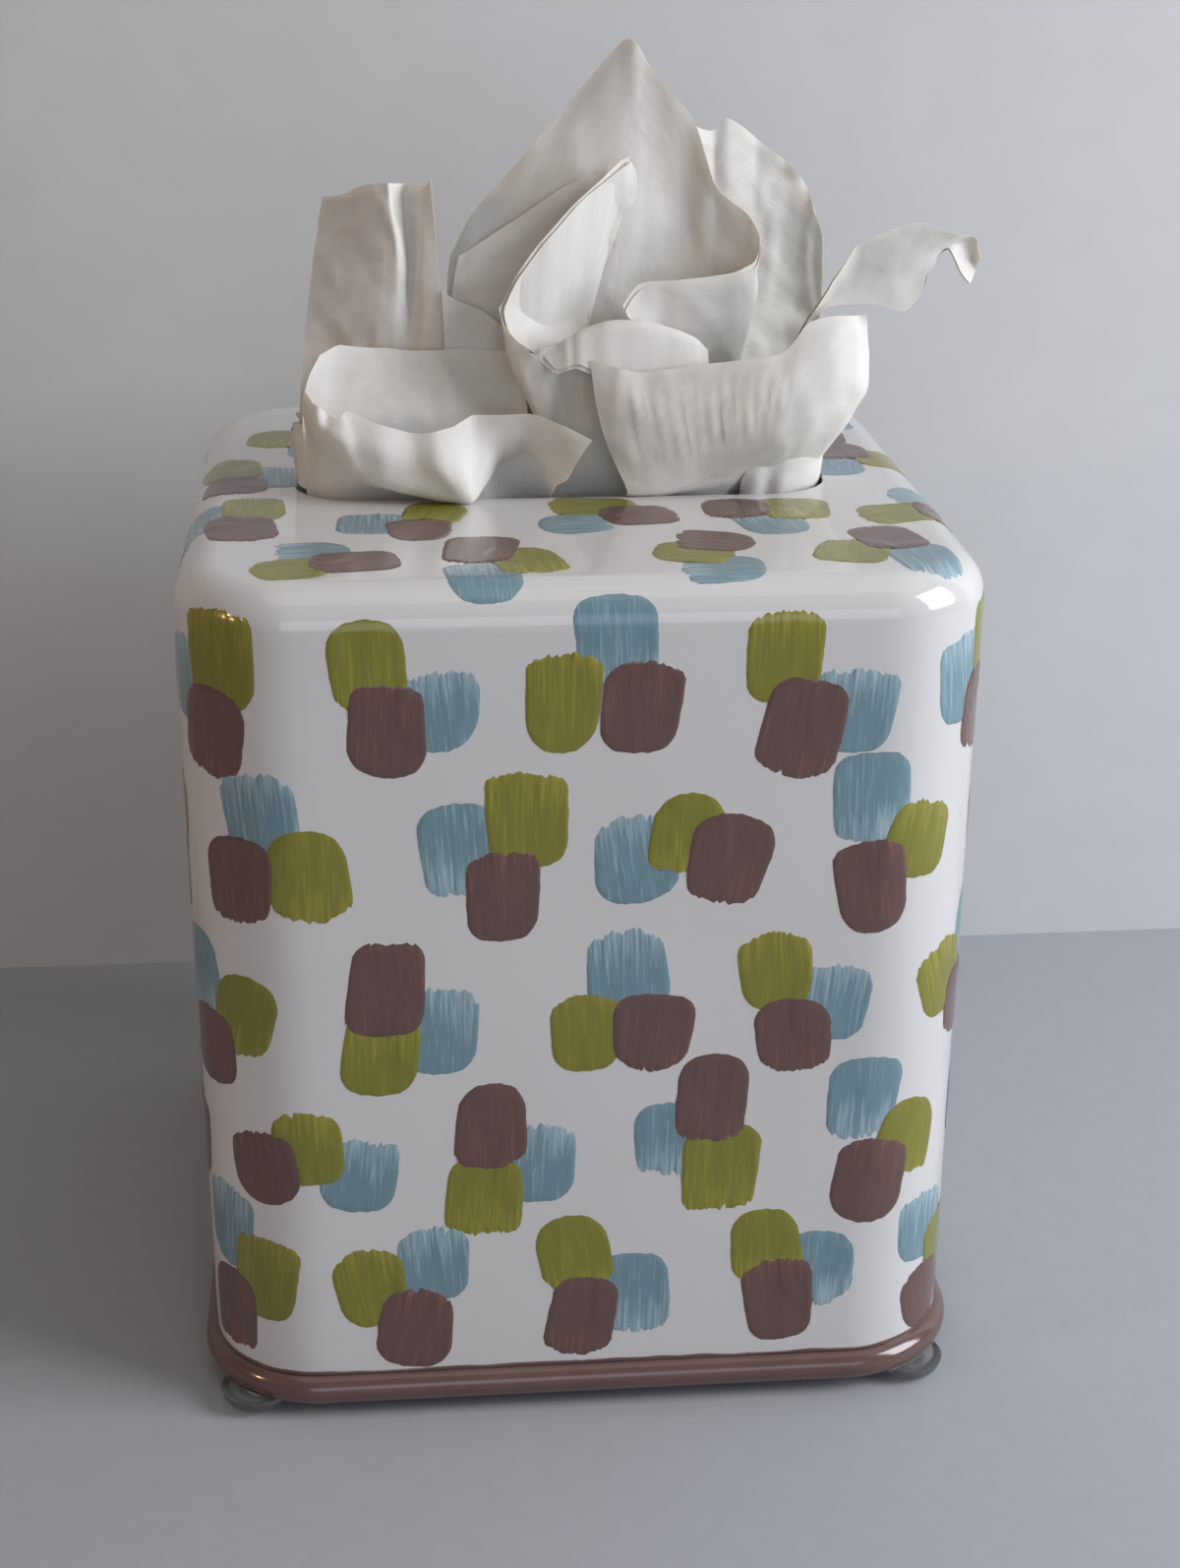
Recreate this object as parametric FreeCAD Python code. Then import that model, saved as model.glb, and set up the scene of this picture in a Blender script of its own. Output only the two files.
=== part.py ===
"""A square tissue box cover of enamelled steel over its cube refill, with four tissues pulled up.

Millimetres, +Z up. The front is -Y. The origin is on the table, in the middle of the refill's base.
"""
import FreeCAD
import Part
import math
import os

Vector = FreeCAD.Vector
UP = Vector(0, 0, 1)

# Cover shell, drawn from one sheet
cover_width = 134.0
cover_height = 153.5
corner_radius = 20.0
top_edge_radius = 7.0
wall = 1.2

# Slot in the top, from the cover's sides to its ends, with round ends but for a short flat
slot_margin = 19.0
slot_width = 26.0
slot_end_flat = 1.0

# Rolled rim round the base, a split tube over the wall's lower edge, on a wire
rim_diameter = 5.8
rim_sheet = 1.0
wall_entry = 0.5
wire_room = 0.9
rim_clearance = 0.1

# Clear bumper feet, stuck under the rim near the corners
foot_diameter = 12.7
foot_thickness = 3.5
foot_stand = 2.4
foot_flat_diameter = 5.0
foot_turn_deg = 50.0
adhesive_thickness = 0.2
adhesive_clearance = 0.02

# Refill carton, with the room that the cover leaves round and over it, and its torn-open mouth
carton_room = 10.8
carton_head_room = 25.3
board = 0.5
carton_edge_radius = 0.8
mouth_margin = 5.0
mouth_width = 50.0
mouth_end_flat = 0.5

# Folded tissues that are left in the carton, with their room beside, behind and over them
pile_side_room = 1.5
pile_end_room = 2.5
pile_head_room = 31.0
leaf_thickness = 0.75
leaf_gap = 0.2
fold_clearance = 0.05

# The four pulled tissues
plume_height = 75.5
plume_thickness = 1.2
soft_clearance = 0.3
root_thickness = 2.5

overrun = 2.0
straight_tolerance = 0.01

# Worked out from the sizes above
half_width = cover_width / 2
slot_length = cover_width - 2 * slot_margin
slot_corner_radius = slot_width / 2 - slot_end_flat
rim_radius = rim_diameter / 2
rim_bore_radius = rim_radius - rim_sheet
rim_height = foot_stand + rim_radius
wall_bottom = rim_height + rim_bore_radius - wall_entry
inner_top = cover_height - wall
wire_radius = rim_bore_radius - (wall_entry + wire_room) / 2
wire_height = rim_height - rim_bore_radius + rim_clearance + wire_radius
carton_width = cover_width - 2 * (wall + carton_room)
carton_height = inner_top - carton_head_room
mouth_length = carton_width - 2 * mouth_margin
mouth_corner_radius = mouth_width / 2 - mouth_end_flat
folded_width = carton_width - 2 * (board + pile_side_room)
folded_depth = carton_width - 2 * (board + pile_end_room)
folded_thickness = 2 * leaf_thickness + leaf_gap
stack_pitch = folded_thickness + fold_clearance
stack_base = board + fold_clearance
tissues_left = int((carton_height - 2 * board - pile_head_room) / stack_pitch)
stack_top = stack_base + tissues_left * stack_pitch - fold_clearance
tissue_bottom = stack_top + soft_clearance
hidden_depth = cover_height - tissue_bottom
slot_half_length = slot_length / 2
slot_half_width = slot_width / 2

# The pulled tissues' leaves. A row is one upright section: how far it is from the slot's middle,
# as a share of half the slot's length, then six points from its lower end to its edge. A point is
# its depth, as a share of half the slot's width, and its height, as a share of the plume's height
# above the top, or of the hidden depth below it.
rear_shares = [
    (-0.969, (-0.20, -1), (-0.22, -0.05), (-0.20, 0.06), (-0.12, 0.14), (0.05, 0.22), (0.22, 0.30)),
    (-0.917, (-0.16, -1), (-0.18, -0.05), (-0.16, 0.12), (0.05, 0.32), (0.25, 0.50), (0.36, 0.66)),
    (-0.771, (-0.08, -1), (-0.10, -0.05), (-0.04, 0.12), (0.22, 0.32), (0.44, 0.50), (0.46, 0.68)),
    (-0.625, (0.00, -1), (-0.02, -0.05), (0.02, 0.12), (0.20, 0.32), (0.38, 0.50), (0.40, 0.70)),
    (-0.542, (0.03, -1), (0.03, -0.05), (0.06, 0.12), (0.28, 0.32), (0.50, 0.50), (0.56, 0.71)),
    (-0.479, (0.04, -1), (0.04, -0.05), (0.06, 0.12), (0.22, 0.32), (0.36, 0.50), (0.38, 0.72)),
    (-0.440, (0.04, -1), (0.04, -0.05), (0.06, 0.12), (0.20, 0.28), (0.34, 0.42), (0.40, 0.56)),
    (-0.422, (0.05, -1), (0.05, -0.05), (0.06, 0.08), (0.14, 0.18), (0.24, 0.26), (0.34, 0.33)),
    (-0.415, (0.05, -1), (0.05, -0.05), (0.06, 0.03), (0.07, 0.05), (0.08, 0.07), (0.09, 0.09)),
    (-0.408, (0.05, -1), (0.05, -0.9), (0.05, -0.8), (0.05, -0.7), (0.05, -0.6), (0.05, -0.5)),
    (0.440, (0.05, -1), (0.05, -0.9), (0.05, -0.8), (0.05, -0.7), (0.05, -0.6), (0.05, -0.5)),
    (0.470, (0.05, -1), (0.05, -0.05), (0.06, 0.03), (0.07, 0.05), (0.08, 0.07), (0.09, 0.09)),
    (0.500, (0.05, -1), (0.05, -0.05), (0.13, 0.13), (0.42, 0.34), (0.70, 0.58), (0.80, 0.80)),
    (0.615, (0.04, -1), (0.04, -0.05), (0.30, 0.13), (0.72, 0.34), (0.96, 0.58), (0.98, 0.82)),
    (0.813, (0.03, -1), (0.03, -0.05), (0.25, 0.13), (0.60, 0.32), (0.84, 0.54), (0.86, 0.745)),
    (0.938, (0.02, -1), (0.02, -0.05), (0.15, 0.13), (0.42, 0.30), (0.62, 0.48), (0.64, 0.65)),
    (0.979, (0.02, -1), (0.02, -0.05), (0.12, 0.12), (0.30, 0.24), (0.44, 0.35), (0.50, 0.45)),
]
peak_shares = [
    (-0.400, (-0.12, -1), (-0.15, -0.05), (0.02, 0.13), (0.31, 0.29), (0.54, 0.42), (0.62, 0.52)),
    (-0.344, (-0.12, -1), (-0.15, -0.05), (0.05, 0.16), (0.38, 0.34), (0.62, 0.48), (0.69, 0.60)),
    (-0.104, (-0.12, -1), (-0.15, -0.05), (0.06, 0.20), (0.40, 0.42), (0.60, 0.60), (0.62, 0.765)),
    (0.240, (-0.12, -1), (-0.15, -0.05), (0.08, 0.24), (0.40, 0.50), (0.55, 0.77), (0.46, 1.0)),
    (0.302, (-0.12, -1), (-0.15, -0.05), (0.08, 0.24), (0.40, 0.48), (0.55, 0.72), (0.50, 0.947)),
    (0.490, (-0.12, -1), (-0.15, -0.05), (0.02, 0.21), (0.30, 0.45), (0.42, 0.66), (0.38, 0.84)),
    (0.615, (-0.12, -1), (-0.18, -0.05), (-0.08, 0.16), (0.05, 0.32), (0.12, 0.48), (0.05, 0.63)),
    (0.729, (-0.15, -1), (-0.22, -0.05), (-0.20, 0.13), (-0.18, 0.27), (-0.22, 0.40), (-0.34, 0.54)),
    (0.781, (-0.15, -1), (-0.22, -0.05), (-0.25, 0.12), (-0.28, 0.24), (-0.36, 0.34), (-0.50, 0.43)),
]
inner_fold_shares = [
    (-0.229, (-0.42, -1), (-0.48, -0.05), (-0.60, 0.12), (-0.62, 0.22), (-0.52, 0.32), (-0.34, 0.41)),
    (-0.167, (-0.42, -1), (-0.48, -0.05), (-0.60, 0.14), (-0.60, 0.26), (-0.48, 0.38), (-0.28, 0.50)),
    (0.042, (-0.42, -1), (-0.48, -0.05), (-0.60, 0.18), (-0.58, 0.33), (-0.40, 0.50), (-0.18, 0.65)),
    (0.208, (-0.42, -1), (-0.48, -0.05), (-0.58, 0.20), (-0.52, 0.38), (-0.34, 0.57), (-0.14, 0.755)),
    (0.271, (-0.42, -1), (-0.48, -0.05), (-0.58, 0.18), (-0.52, 0.34), (-0.36, 0.52), (-0.18, 0.70)),
]
rolled_edge_shares = [
    (-0.083, (-0.56, -1), (-0.62, -0.05), (-0.72, 0.08), (-0.80, 0.16), (-0.82, 0.23), (-0.74, 0.30)),
    (0.104, (-0.56, -1), (-0.62, -0.05), (-0.74, 0.10), (-0.84, 0.20), (-0.84, 0.29), (-0.72, 0.36)),
    (0.250, (-0.56, -1), (-0.62, -0.05), (-0.74, 0.10), (-0.84, 0.20), (-0.84, 0.29), (-0.72, 0.37)),
    (0.410, (-0.56, -1), (-0.62, -0.05), (-0.72, 0.08), (-0.80, 0.17), (-0.80, 0.25), (-0.68, 0.32)),
    (0.445, (-0.56, -1), (-0.61, -0.05), (-0.68, 0.06), (-0.74, 0.13), (-0.74, 0.19), (-0.64, 0.25)),
]
pouch_shares = [
    (-0.927, (-0.44, -1), (-0.52, -0.05), (-0.56, 0.08), (-0.52, 0.16), (-0.42, 0.23), (-0.27, 0.29)),
    (-0.813, (-0.44, -1), (-0.52, -0.05), (-0.52, 0.08), (-0.42, 0.17), (-0.25, 0.25), (-0.08, 0.335)),
    (-0.521, (-0.38, -1), (-0.46, -0.05), (-0.48, 0.08), (-0.36, 0.17), (-0.18, 0.25), (0.0, 0.325)),
    (-0.271, (-0.27, -1), (-0.31, -0.05), (-0.40, 0.08), (-0.34, 0.17), (-0.20, 0.24), (-0.08, 0.31)),
    (-0.167, (-0.27, -1), (-0.31, -0.05), (-0.38, 0.08), (-0.34, 0.15), (-0.24, 0.20), (-0.10, 0.25)),
    (-0.104, (-0.27, -1), (-0.31, -0.05), (-0.34, 0.05), (-0.33, 0.10), (-0.26, 0.15), (-0.12, 0.20)),
]
front_lip_shares = [
    (-0.948, (-1.00, 0.225), (-1.06, 0.235), (-1.10, 0.25), (-1.11, 0.265), (-1.08, 0.28), (-1.00, 0.295)),
    (-0.917, (-1.00, 0.16), (-1.08, 0.17), (-1.24, 0.185), (-1.36, 0.21), (-1.40, 0.235), (-1.34, 0.26)),
    (-0.854, (-0.94, 0.105), (-1.02, 0.115), (-1.24, 0.13), (-1.48, 0.16), (-1.60, 0.195), (-1.56, 0.225)),
    (-0.750, (-0.82, 0.03), (-0.94, 0.05), (-1.24, 0.065), (-1.50, 0.09), (-1.66, 0.14), (-1.66, 0.19)),
    (-0.563, (-0.72, -1), (-0.87, -0.05), (-0.92, 0.015), (-1.32, 0.045), (-1.64, 0.10), (-1.70, 0.175)),
    (-0.354, (-0.72, -1), (-0.87, -0.05), (-0.92, 0.015), (-1.28, 0.035), (-1.60, 0.08), (-1.70, 0.18)),
    (-0.240, (-0.72, -1), (-0.87, -0.05), (-0.92, 0.02), (-1.15, 0.07), (-1.42, 0.13), (-1.66, 0.205)),
    (-0.094, (-0.72, -1), (-0.86, -0.05), (-0.92, 0.03), (-1.06, 0.10), (-1.28, 0.17), (-1.60, 0.21)),
    (0.000, (-0.86, 0.04), (-0.90, 0.06), (-1.06, 0.12), (-1.25, 0.165), (-1.45, 0.18), (-1.64, 0.17)),
    (0.115, (-1.32, 0.145), (-1.38, 0.148), (-1.46, 0.15), (-1.54, 0.15), (-1.62, 0.148), (-1.70, 0.142)),
]
band_shares = [
    (0.083, (-0.72, -1), (-0.86, -0.05), (-0.92, 0.04), (-1.02, 0.14), (-1.10, 0.23), (-1.12, 0.325)),
    (0.250, (-0.72, -1), (-0.86, -0.05), (-0.92, 0.03), (-1.14, 0.11), (-1.26, 0.20), (-1.24, 0.30)),
    (0.479, (-0.72, -1), (-0.86, -0.05), (-0.92, 0.03), (-1.22, 0.10), (-1.40, 0.19), (-1.32, 0.31)),
    (0.708, (-0.80, 0.05), (-0.92, 0.075), (-1.26, 0.12), (-1.46, 0.16), (-1.50, 0.24), (-1.38, 0.335)),
    (0.833, (-0.90, 0.10), (-1.02, 0.115), (-1.30, 0.145), (-1.48, 0.20), (-1.54, 0.27), (-1.42, 0.35)),
    (0.917, (-0.86, 0.145), (-1.00, 0.155), (-1.24, 0.185), (-1.42, 0.24), (-1.46, 0.33), (-1.32, 0.42)),
    (1.063, (-0.70, 0.20), (-0.84, 0.21), (-1.06, 0.235), (-1.22, 0.28), (-1.24, 0.35), (-1.10, 0.43)),
    (1.146, (-0.46, 0.29), (-0.54, 0.295), (-0.65, 0.31), (-0.72, 0.335), (-0.72, 0.375), (-0.64, 0.41)),
]
right_end_shares = [
    (0.460, (-0.72, -1), (-0.72, -0.6), (-0.72, -0.5), (-0.72, -0.4), (-0.72, -0.3), (-0.72, -0.2)),
    (0.604, (-0.70, -1), (-0.66, -0.05), (-0.66, 0.04), (-0.74, 0.08), (-0.88, 0.12), (-1.10, 0.15)),
    (0.770, (-0.62, -1), (-0.54, -0.05), (-0.56, 0.05), (-0.68, 0.10), (-0.88, 0.14), (-1.14, 0.17)),
    (0.906, (-0.54, -1), (-0.40, -0.05), (-0.44, 0.06), (-0.60, 0.12), (-0.82, 0.17), (-1.10, 0.20)),
]
strip_shares = [
    (0.917, (-1.30, 0.37), (-1.28, 0.38), (-1.25, 0.40), (-1.20, 0.42), (-1.14, 0.435), (-1.08, 0.45)),
    (1.021, (-1.26, 0.42), (-1.24, 0.44), (-1.18, 0.47), (-1.08, 0.51), (-0.96, 0.545), (-0.84, 0.575)),
    (1.104, (-1.26, 0.44), (-1.24, 0.46), (-1.18, 0.49), (-1.08, 0.535), (-0.94, 0.58), (-0.80, 0.615)),
    (1.250, (-1.24, 0.445), (-1.22, 0.465), (-1.16, 0.50), (-1.06, 0.55), (-0.92, 0.60), (-0.78, 0.64)),
    (1.354, (-1.14, 0.55), (-1.12, 0.56), (-1.07, 0.58), (-1.00, 0.60), (-0.92, 0.62), (-0.84, 0.635)),
    (1.427, (-1.08, 0.55), (-1.06, 0.56), (-1.02, 0.575), (-0.97, 0.59), (-0.92, 0.605), (-0.86, 0.62)),
]

# The folds that join leaves of one tissue below the slot: the start and end along the slot, then
# the front and back, in the same shares as above
inner_root_shares = [(-0.083, 0.25, -0.60, -0.38)]
front_root_shares = [(-0.56, 0.479, -0.76, -0.68), (-0.56, -0.30, -0.76, -0.34)]


def rounded_outline(width, depth, radius, height):
    """A closed rectangle with round corners, level at a height."""
    x, y = width / 2, depth / 2
    diagonal = radius * (1 - math.sqrt(0.5))
    corners = []
    for sx, sy in ((1, -1), (1, 1), (-1, 1), (-1, -1)):
        on_side = Vector(sx * x, sy * (y - radius), height)
        on_front = Vector(sx * (x - radius), sy * y, height)
        middle = Vector(sx * (x - diagonal), sy * (y - diagonal), height)
        ends = (on_front, on_side) if sx * sy < 0 else (on_side, on_front)
        corners.append((ends[0], middle, ends[1]))
    edges = []
    for (start, middle, end), following in zip(corners, corners[1:] + corners[:1]):
        edges.append(Part.Arc(start, middle, end).toShape())
        edges.append(Part.LineSegment(end, following[0]).toShape())
    return Part.Wire(edges)


def rounded_block(width, depth, radius, bottom, top):
    """A block with round upright edges."""
    face = Part.Face(rounded_outline(width, depth, radius, bottom))
    return face.extrude(Vector(0, 0, top - bottom))


def edges_at(shape, height):
    """The edges that lie level at a height."""
    return [edge for edge in shape.Edges
            if abs(edge.BoundBox.ZMin - height) < straight_tolerance
            and abs(edge.BoundBox.ZMax - height) < straight_tolerance]


def softened_block(width, radius, edge_radius, bottom, top):
    """A square block whose top edge is rounded over."""
    block = rounded_block(width, width, radius, bottom, top)
    return block.makeFillet(edge_radius, edges_at(block, top))


def cover_shell():
    """The drawn shell: four walls and a slotted top in one sheet."""
    outer = softened_block(cover_width, corner_radius, top_edge_radius, wall_bottom, cover_height)
    inner = softened_block(cover_width - 2 * wall, corner_radius - wall, top_edge_radius - wall,
                           wall_bottom - overrun, inner_top)
    slot = rounded_block(slot_length, slot_width, slot_corner_radius,
                         inner_top - overrun, cover_height + overrun)
    return outer.cut(inner).cut(slot)


def ring(radius, height):
    """A round bar bent along the middle of the shell's wall."""
    width = cover_width - wall
    path = rounded_outline(width, width, corner_radius - wall / 2, height)
    start = path.Edges[0].valueAt(path.Edges[0].FirstParameter)
    along = path.Edges[0].tangentAt(path.Edges[0].FirstParameter)
    section = Part.Wire(Part.makeCircle(radius, start, along))
    return path.makePipeShell([section], True, True)


def base_rim():
    """The split tube: a hollow ring, open on top where the wall enters it."""
    middle = rim_height + overrun
    split_outer = rounded_block(cover_width + 2 * rim_clearance, cover_width + 2 * rim_clearance,
                                corner_radius + rim_clearance, rim_height, middle + rim_radius)
    inside = cover_width - 2 * wall - 2 * rim_clearance
    split_inner = rounded_block(inside, inside, corner_radius - wall - rim_clearance,
                                rim_height - overrun, middle + rim_radius + overrun)
    split = split_outer.cut(split_inner)
    return ring(rim_radius, rim_height).cut(ring(rim_bore_radius, rim_height)).cut(split)


def rim_wire():
    """The wire that stiffens the rim, lying in its bore."""
    return ring(wire_radius, wire_height)


def foot_place(side, front):
    """A foot's centre, on the round of a corner. side is -1 at the left, front is -1 in front."""
    turn = math.radians(foot_turn_deg)
    reach = corner_radius - wall / 2
    x = half_width - corner_radius + reach * math.cos(turn)
    y = half_width - corner_radius + reach * math.sin(turn)
    return Vector(side * x, front * y, 0)


def foot_dome(place):
    """A bumper before the rim is pressed into it: wide above, rounded down to a small flat."""
    radius, flat = foot_diameter / 2, foot_flat_diameter / 2
    lean = math.sqrt(0.5)
    top, side = Vector(0, 0, foot_thickness), Vector(radius, 0, foot_thickness)
    bend = Vector(flat + (radius - flat) * lean, 0, foot_thickness * (1 - lean))
    profile = Part.Wire([
        Part.LineSegment(Vector(0, 0, 0), Vector(flat, 0, 0)).toShape(),
        Part.Arc(Vector(flat, 0, 0), bend, side).toShape(),
        Part.LineSegment(side, top).toShape(),
        Part.LineSegment(top, Vector(0, 0, 0)).toShape(),
    ])
    dome = Part.Face(profile).revolve(Vector(0, 0, 0), UP, 360)
    dome.translate(place)
    return dome


def feet():
    """Four feet and the four strips of adhesive between them and the rim."""
    film_inside = ring(rim_radius + adhesive_clearance, rim_height)
    film_outside = ring(rim_radius + adhesive_thickness, rim_height)
    seat = ring(rim_radius + adhesive_thickness + adhesive_clearance, rim_height)
    found, strips = {}, []
    for front, front_name in ((-1, "front"), (1, "back")):
        for side, side_name in ((-1, "left"), (1, "right")):
            dome = foot_dome(foot_place(side, front))
            found[f"foot_{front_name}_{side_name}"] = dome.cut(seat)
            strips.append(dome.common(film_outside).cut(film_inside))
    return found, Part.makeCompound([solid for strip in strips for solid in strip.Solids])


def refill_carton():
    """The cube carton: thin board, with its top torn open in a long oval."""
    outer = rounded_block(carton_width, carton_width, carton_edge_radius + board, 0, carton_height)
    inner = rounded_block(carton_width - 2 * board, carton_width - 2 * board, carton_edge_radius,
                          board, carton_height - board)
    mouth = rounded_block(mouth_length, mouth_width, mouth_corner_radius,
                          carton_height - board - overrun, carton_height + overrun)
    return outer.cut(inner).cut(mouth)


def folded_tissue(bottom, turned):
    """One tissue folded in two: an upper and a lower leaf, joined round the fold at one side."""
    outer, inner = folded_thickness / 2, leaf_gap / 2
    open_end, fold = -folded_depth / 2, folded_depth / 2 - outer
    middle = bottom + outer

    def at(y, z):
        return Vector(-folded_width / 2, -y if turned else y, middle + z)

    edges = [
        Part.LineSegment(at(open_end, -outer), at(fold, -outer)).toShape(),
        Part.Arc(at(fold, -outer), at(fold + outer, 0), at(fold, outer)).toShape(),
        Part.LineSegment(at(fold, outer), at(open_end, outer)).toShape(),
        Part.LineSegment(at(open_end, outer), at(open_end, inner)).toShape(),
        Part.LineSegment(at(open_end, inner), at(fold, inner)).toShape(),
        Part.Arc(at(fold, inner), at(fold + inner, 0), at(fold, -inner)).toShape(),
        Part.LineSegment(at(fold, -inner), at(open_end, -inner)).toShape(),
        Part.LineSegment(at(open_end, -inner), at(open_end, -outer)).toShape(),
    ]
    return Part.Face(Part.Wire(edges)).extrude(Vector(folded_width, 0, 0))


def folded_tissues():
    """The tissues that are left, with their folds turned front and back by turns."""
    return Part.makeCompound([folded_tissue(stack_base + n * stack_pitch, n % 2 == 1)
                              for n in range(tissues_left)])


def height_of(share):
    """A height in a pulled tissue, above the cover's top or below it."""
    return cover_height + share * (plume_height if share > 0 else hidden_depth)


def bend(start, middle, end):
    """An arc through three points, or a line where they are in line."""
    chord = end - start
    off = (middle - start).cross(chord).Length / chord.Length
    if off < straight_tolerance:
        return Part.LineSegment(start, end).toShape()
    return Part.Arc(start, middle, end).toShape()


def side_of(points, sign):
    """The section's points moved half the tissue's thickness to one side."""
    moved = []
    for n, point in enumerate(points):
        before, after = points[max(n - 1, 0)], points[min(n + 1, len(points) - 1)]
        normal = (after - before).cross(Vector(1, 0, 0)).normalize()
        moved.append(point + normal * (sign * plume_thickness / 2))
    return moved


def section(row):
    """One upright section of a leaf, as a closed thin outline."""
    across = row[0] * slot_half_length
    middle = [Vector(across, depth * slot_half_width, height_of(height)) for depth, height in row[1:]]
    near, far = side_of(middle, 1), side_of(middle, -1)
    return Part.Wire([
        Part.LineSegment(near[0], near[1]).toShape(),
        bend(near[1], near[2], near[3]),
        bend(near[3], near[4], near[5]),
        Part.LineSegment(near[5], far[5]).toShape(),
        bend(far[5], far[4], far[3]),
        bend(far[3], far[2], far[1]),
        Part.LineSegment(far[1], far[0]).toShape(),
        Part.LineSegment(far[0], near[0]).toShape(),
    ])


def leaf(rows):
    """One leaf of a pulled tissue, from section to section."""
    return Part.makeLoft([section(row) for row in rows], True, True)


def root(row):
    """A fold at a tissue's lower end, where two of its leaves come together."""
    start, end = (share * slot_half_length for share in row[:2])
    front, back = (share * slot_half_width for share in row[2:])
    return Part.makeBox(end - start, back - front, root_thickness,
                        Vector(start, front, tissue_bottom))


def pulled_tissue(tables, roots):
    """One tissue: its leaves and the folds that join them."""
    first, *others = [leaf(rows) for rows in tables] + [root(row) for row in roots]
    return first.multiFuse(others) if others else first


def main():
    """Writes one file for each sub-part."""
    os.makedirs("parts", exist_ok=True)
    bumpers, adhesive = feet()
    nodes = {
        "cover_shell": cover_shell(),
        "base_rim": base_rim(),
        "rim_wire": rim_wire(),
        **bumpers,
        "foot_adhesive": adhesive,
        "refill_carton": refill_carton(),
        "folded_tissues": folded_tissues(),
        "tissue_rear": pulled_tissue([rear_shares], []),
        "tissue_peak": pulled_tissue([peak_shares], []),
        "tissue_inner": pulled_tissue([inner_fold_shares, rolled_edge_shares], inner_root_shares),
        "tissue_front": pulled_tissue([pouch_shares, front_lip_shares, band_shares,
                                       right_end_shares, strip_shares], front_root_shares),
    }
    for name, shape in nodes.items():
        print(name, len(shape.Solids), "solids", shape.isValid(), round(shape.Volume, 1))
        shape.exportStep(f"parts/{name}.step")


main()
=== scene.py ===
"""Dresses a hand-painted enamel tissue box cover with its refill and four pulled-up tissues.

Metres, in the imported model's own frame: +Z up, the front is -Y, the origin is on the table.
"""
import math
import random

import bmesh
import bpy
import numpy as np
from mathutils import Matrix, Vector, noise


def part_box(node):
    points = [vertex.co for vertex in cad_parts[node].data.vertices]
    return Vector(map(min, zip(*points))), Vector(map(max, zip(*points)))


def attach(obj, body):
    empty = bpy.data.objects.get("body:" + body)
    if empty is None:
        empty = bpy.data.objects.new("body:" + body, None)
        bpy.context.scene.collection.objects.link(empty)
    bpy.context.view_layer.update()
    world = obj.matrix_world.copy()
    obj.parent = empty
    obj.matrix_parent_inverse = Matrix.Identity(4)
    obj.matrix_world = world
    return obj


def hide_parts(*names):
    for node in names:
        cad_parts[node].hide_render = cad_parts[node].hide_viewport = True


bl_info = {
    "name": "Painted tissue box cover",
    "version": (1, 0, 0),
    "blender": (4, 5, 0),
    "location": "3D View > Sidebar > Tissue cover",
    "description": "Enamelled steel tissue box cover with brush dabs, feet, refill and pulled tissues",
    "category": "Object",
}

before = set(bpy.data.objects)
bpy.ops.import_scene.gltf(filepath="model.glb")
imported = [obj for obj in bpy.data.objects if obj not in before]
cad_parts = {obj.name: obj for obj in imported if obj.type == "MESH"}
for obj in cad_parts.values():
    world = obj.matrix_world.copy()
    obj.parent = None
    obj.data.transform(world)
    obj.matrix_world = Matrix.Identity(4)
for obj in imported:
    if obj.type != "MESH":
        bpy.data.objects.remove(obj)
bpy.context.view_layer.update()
MM = 0.001
# Points closer than this, in millimetres, are one point: in a drawn mesh and in a CAD node's
DRAWN_MERGE, CAD_MERGE = 0.001, 0.01

# The shell, the rim and the refill, read from the frame
SHELL_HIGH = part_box("cover_shell")[1]
RIM_LOW, RIM_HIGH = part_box("base_rim")
CARTON_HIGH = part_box("refill_carton")[1]
PILE_LOW, PILE_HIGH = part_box("folded_tissues")
HALF = SHELL_HIGH.x / MM
TOP = SHELL_HIGH.z / MM
RIM_OUT = RIM_HIGH.x / MM
RIM_BOTTOM = RIM_LOW.z / MM
PILE_TOP = PILE_HIGH.z / MM

# The photograph's camera, in millimetres, radians and pixels of the 1200 x 1594 frame
CAMERA_PLACE = (-32.62, -419.40, 264.0)
CAMERA_YAW = 0.0912
CAMERA_PITCH = 0.3856
CAMERA_ROLL = 0.0068
PHOTO_WIDTH, PHOTO_HEIGHT = 1200, 1594
PHOTO_FOCUS = 2400.76
SENSOR = 36.0


def camera_axes():
    """The camera's right, up and forward directions."""
    cos_yaw, sin_yaw = math.cos(CAMERA_YAW), math.sin(CAMERA_YAW)
    cos_pitch, sin_pitch = math.cos(CAMERA_PITCH), math.sin(CAMERA_PITCH)
    forward = Vector((sin_yaw * cos_pitch, cos_yaw * cos_pitch, -sin_pitch))
    level = Vector((cos_yaw, -sin_yaw, 0))
    plumb = level.cross(forward)
    right = level * math.cos(CAMERA_ROLL) + plumb * math.sin(CAMERA_ROLL)
    return right, right.cross(forward), forward


RIGHT, PLUMB, FORWARD = camera_axes()


def at_pixel(px, py, depth):
    """The point in millimetres that shows at a pixel of the photograph and has Y = depth."""
    ray = FORWARD + RIGHT * ((px - PHOTO_WIDTH / 2) / PHOTO_FOCUS)
    ray = ray - PLUMB * ((py - PHOTO_HEIGHT / 2) / PHOTO_FOCUS)
    eye = Vector(CAMERA_PLACE)
    return eye + ray * ((depth - eye.y) / ray.y)


def linear(hex_colour):
    """A colour written as sRGB hex, as the linear values that the shaders take."""
    parts = [int(hex_colour[n:n + 2], 16) / 255 for n in (1, 3, 5)]
    parts = [p / 12.92 if p <= 0.04045 else ((p + 0.055) / 1.055) ** 2.4 for p in parts]
    return (*parts, 1.0)


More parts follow.
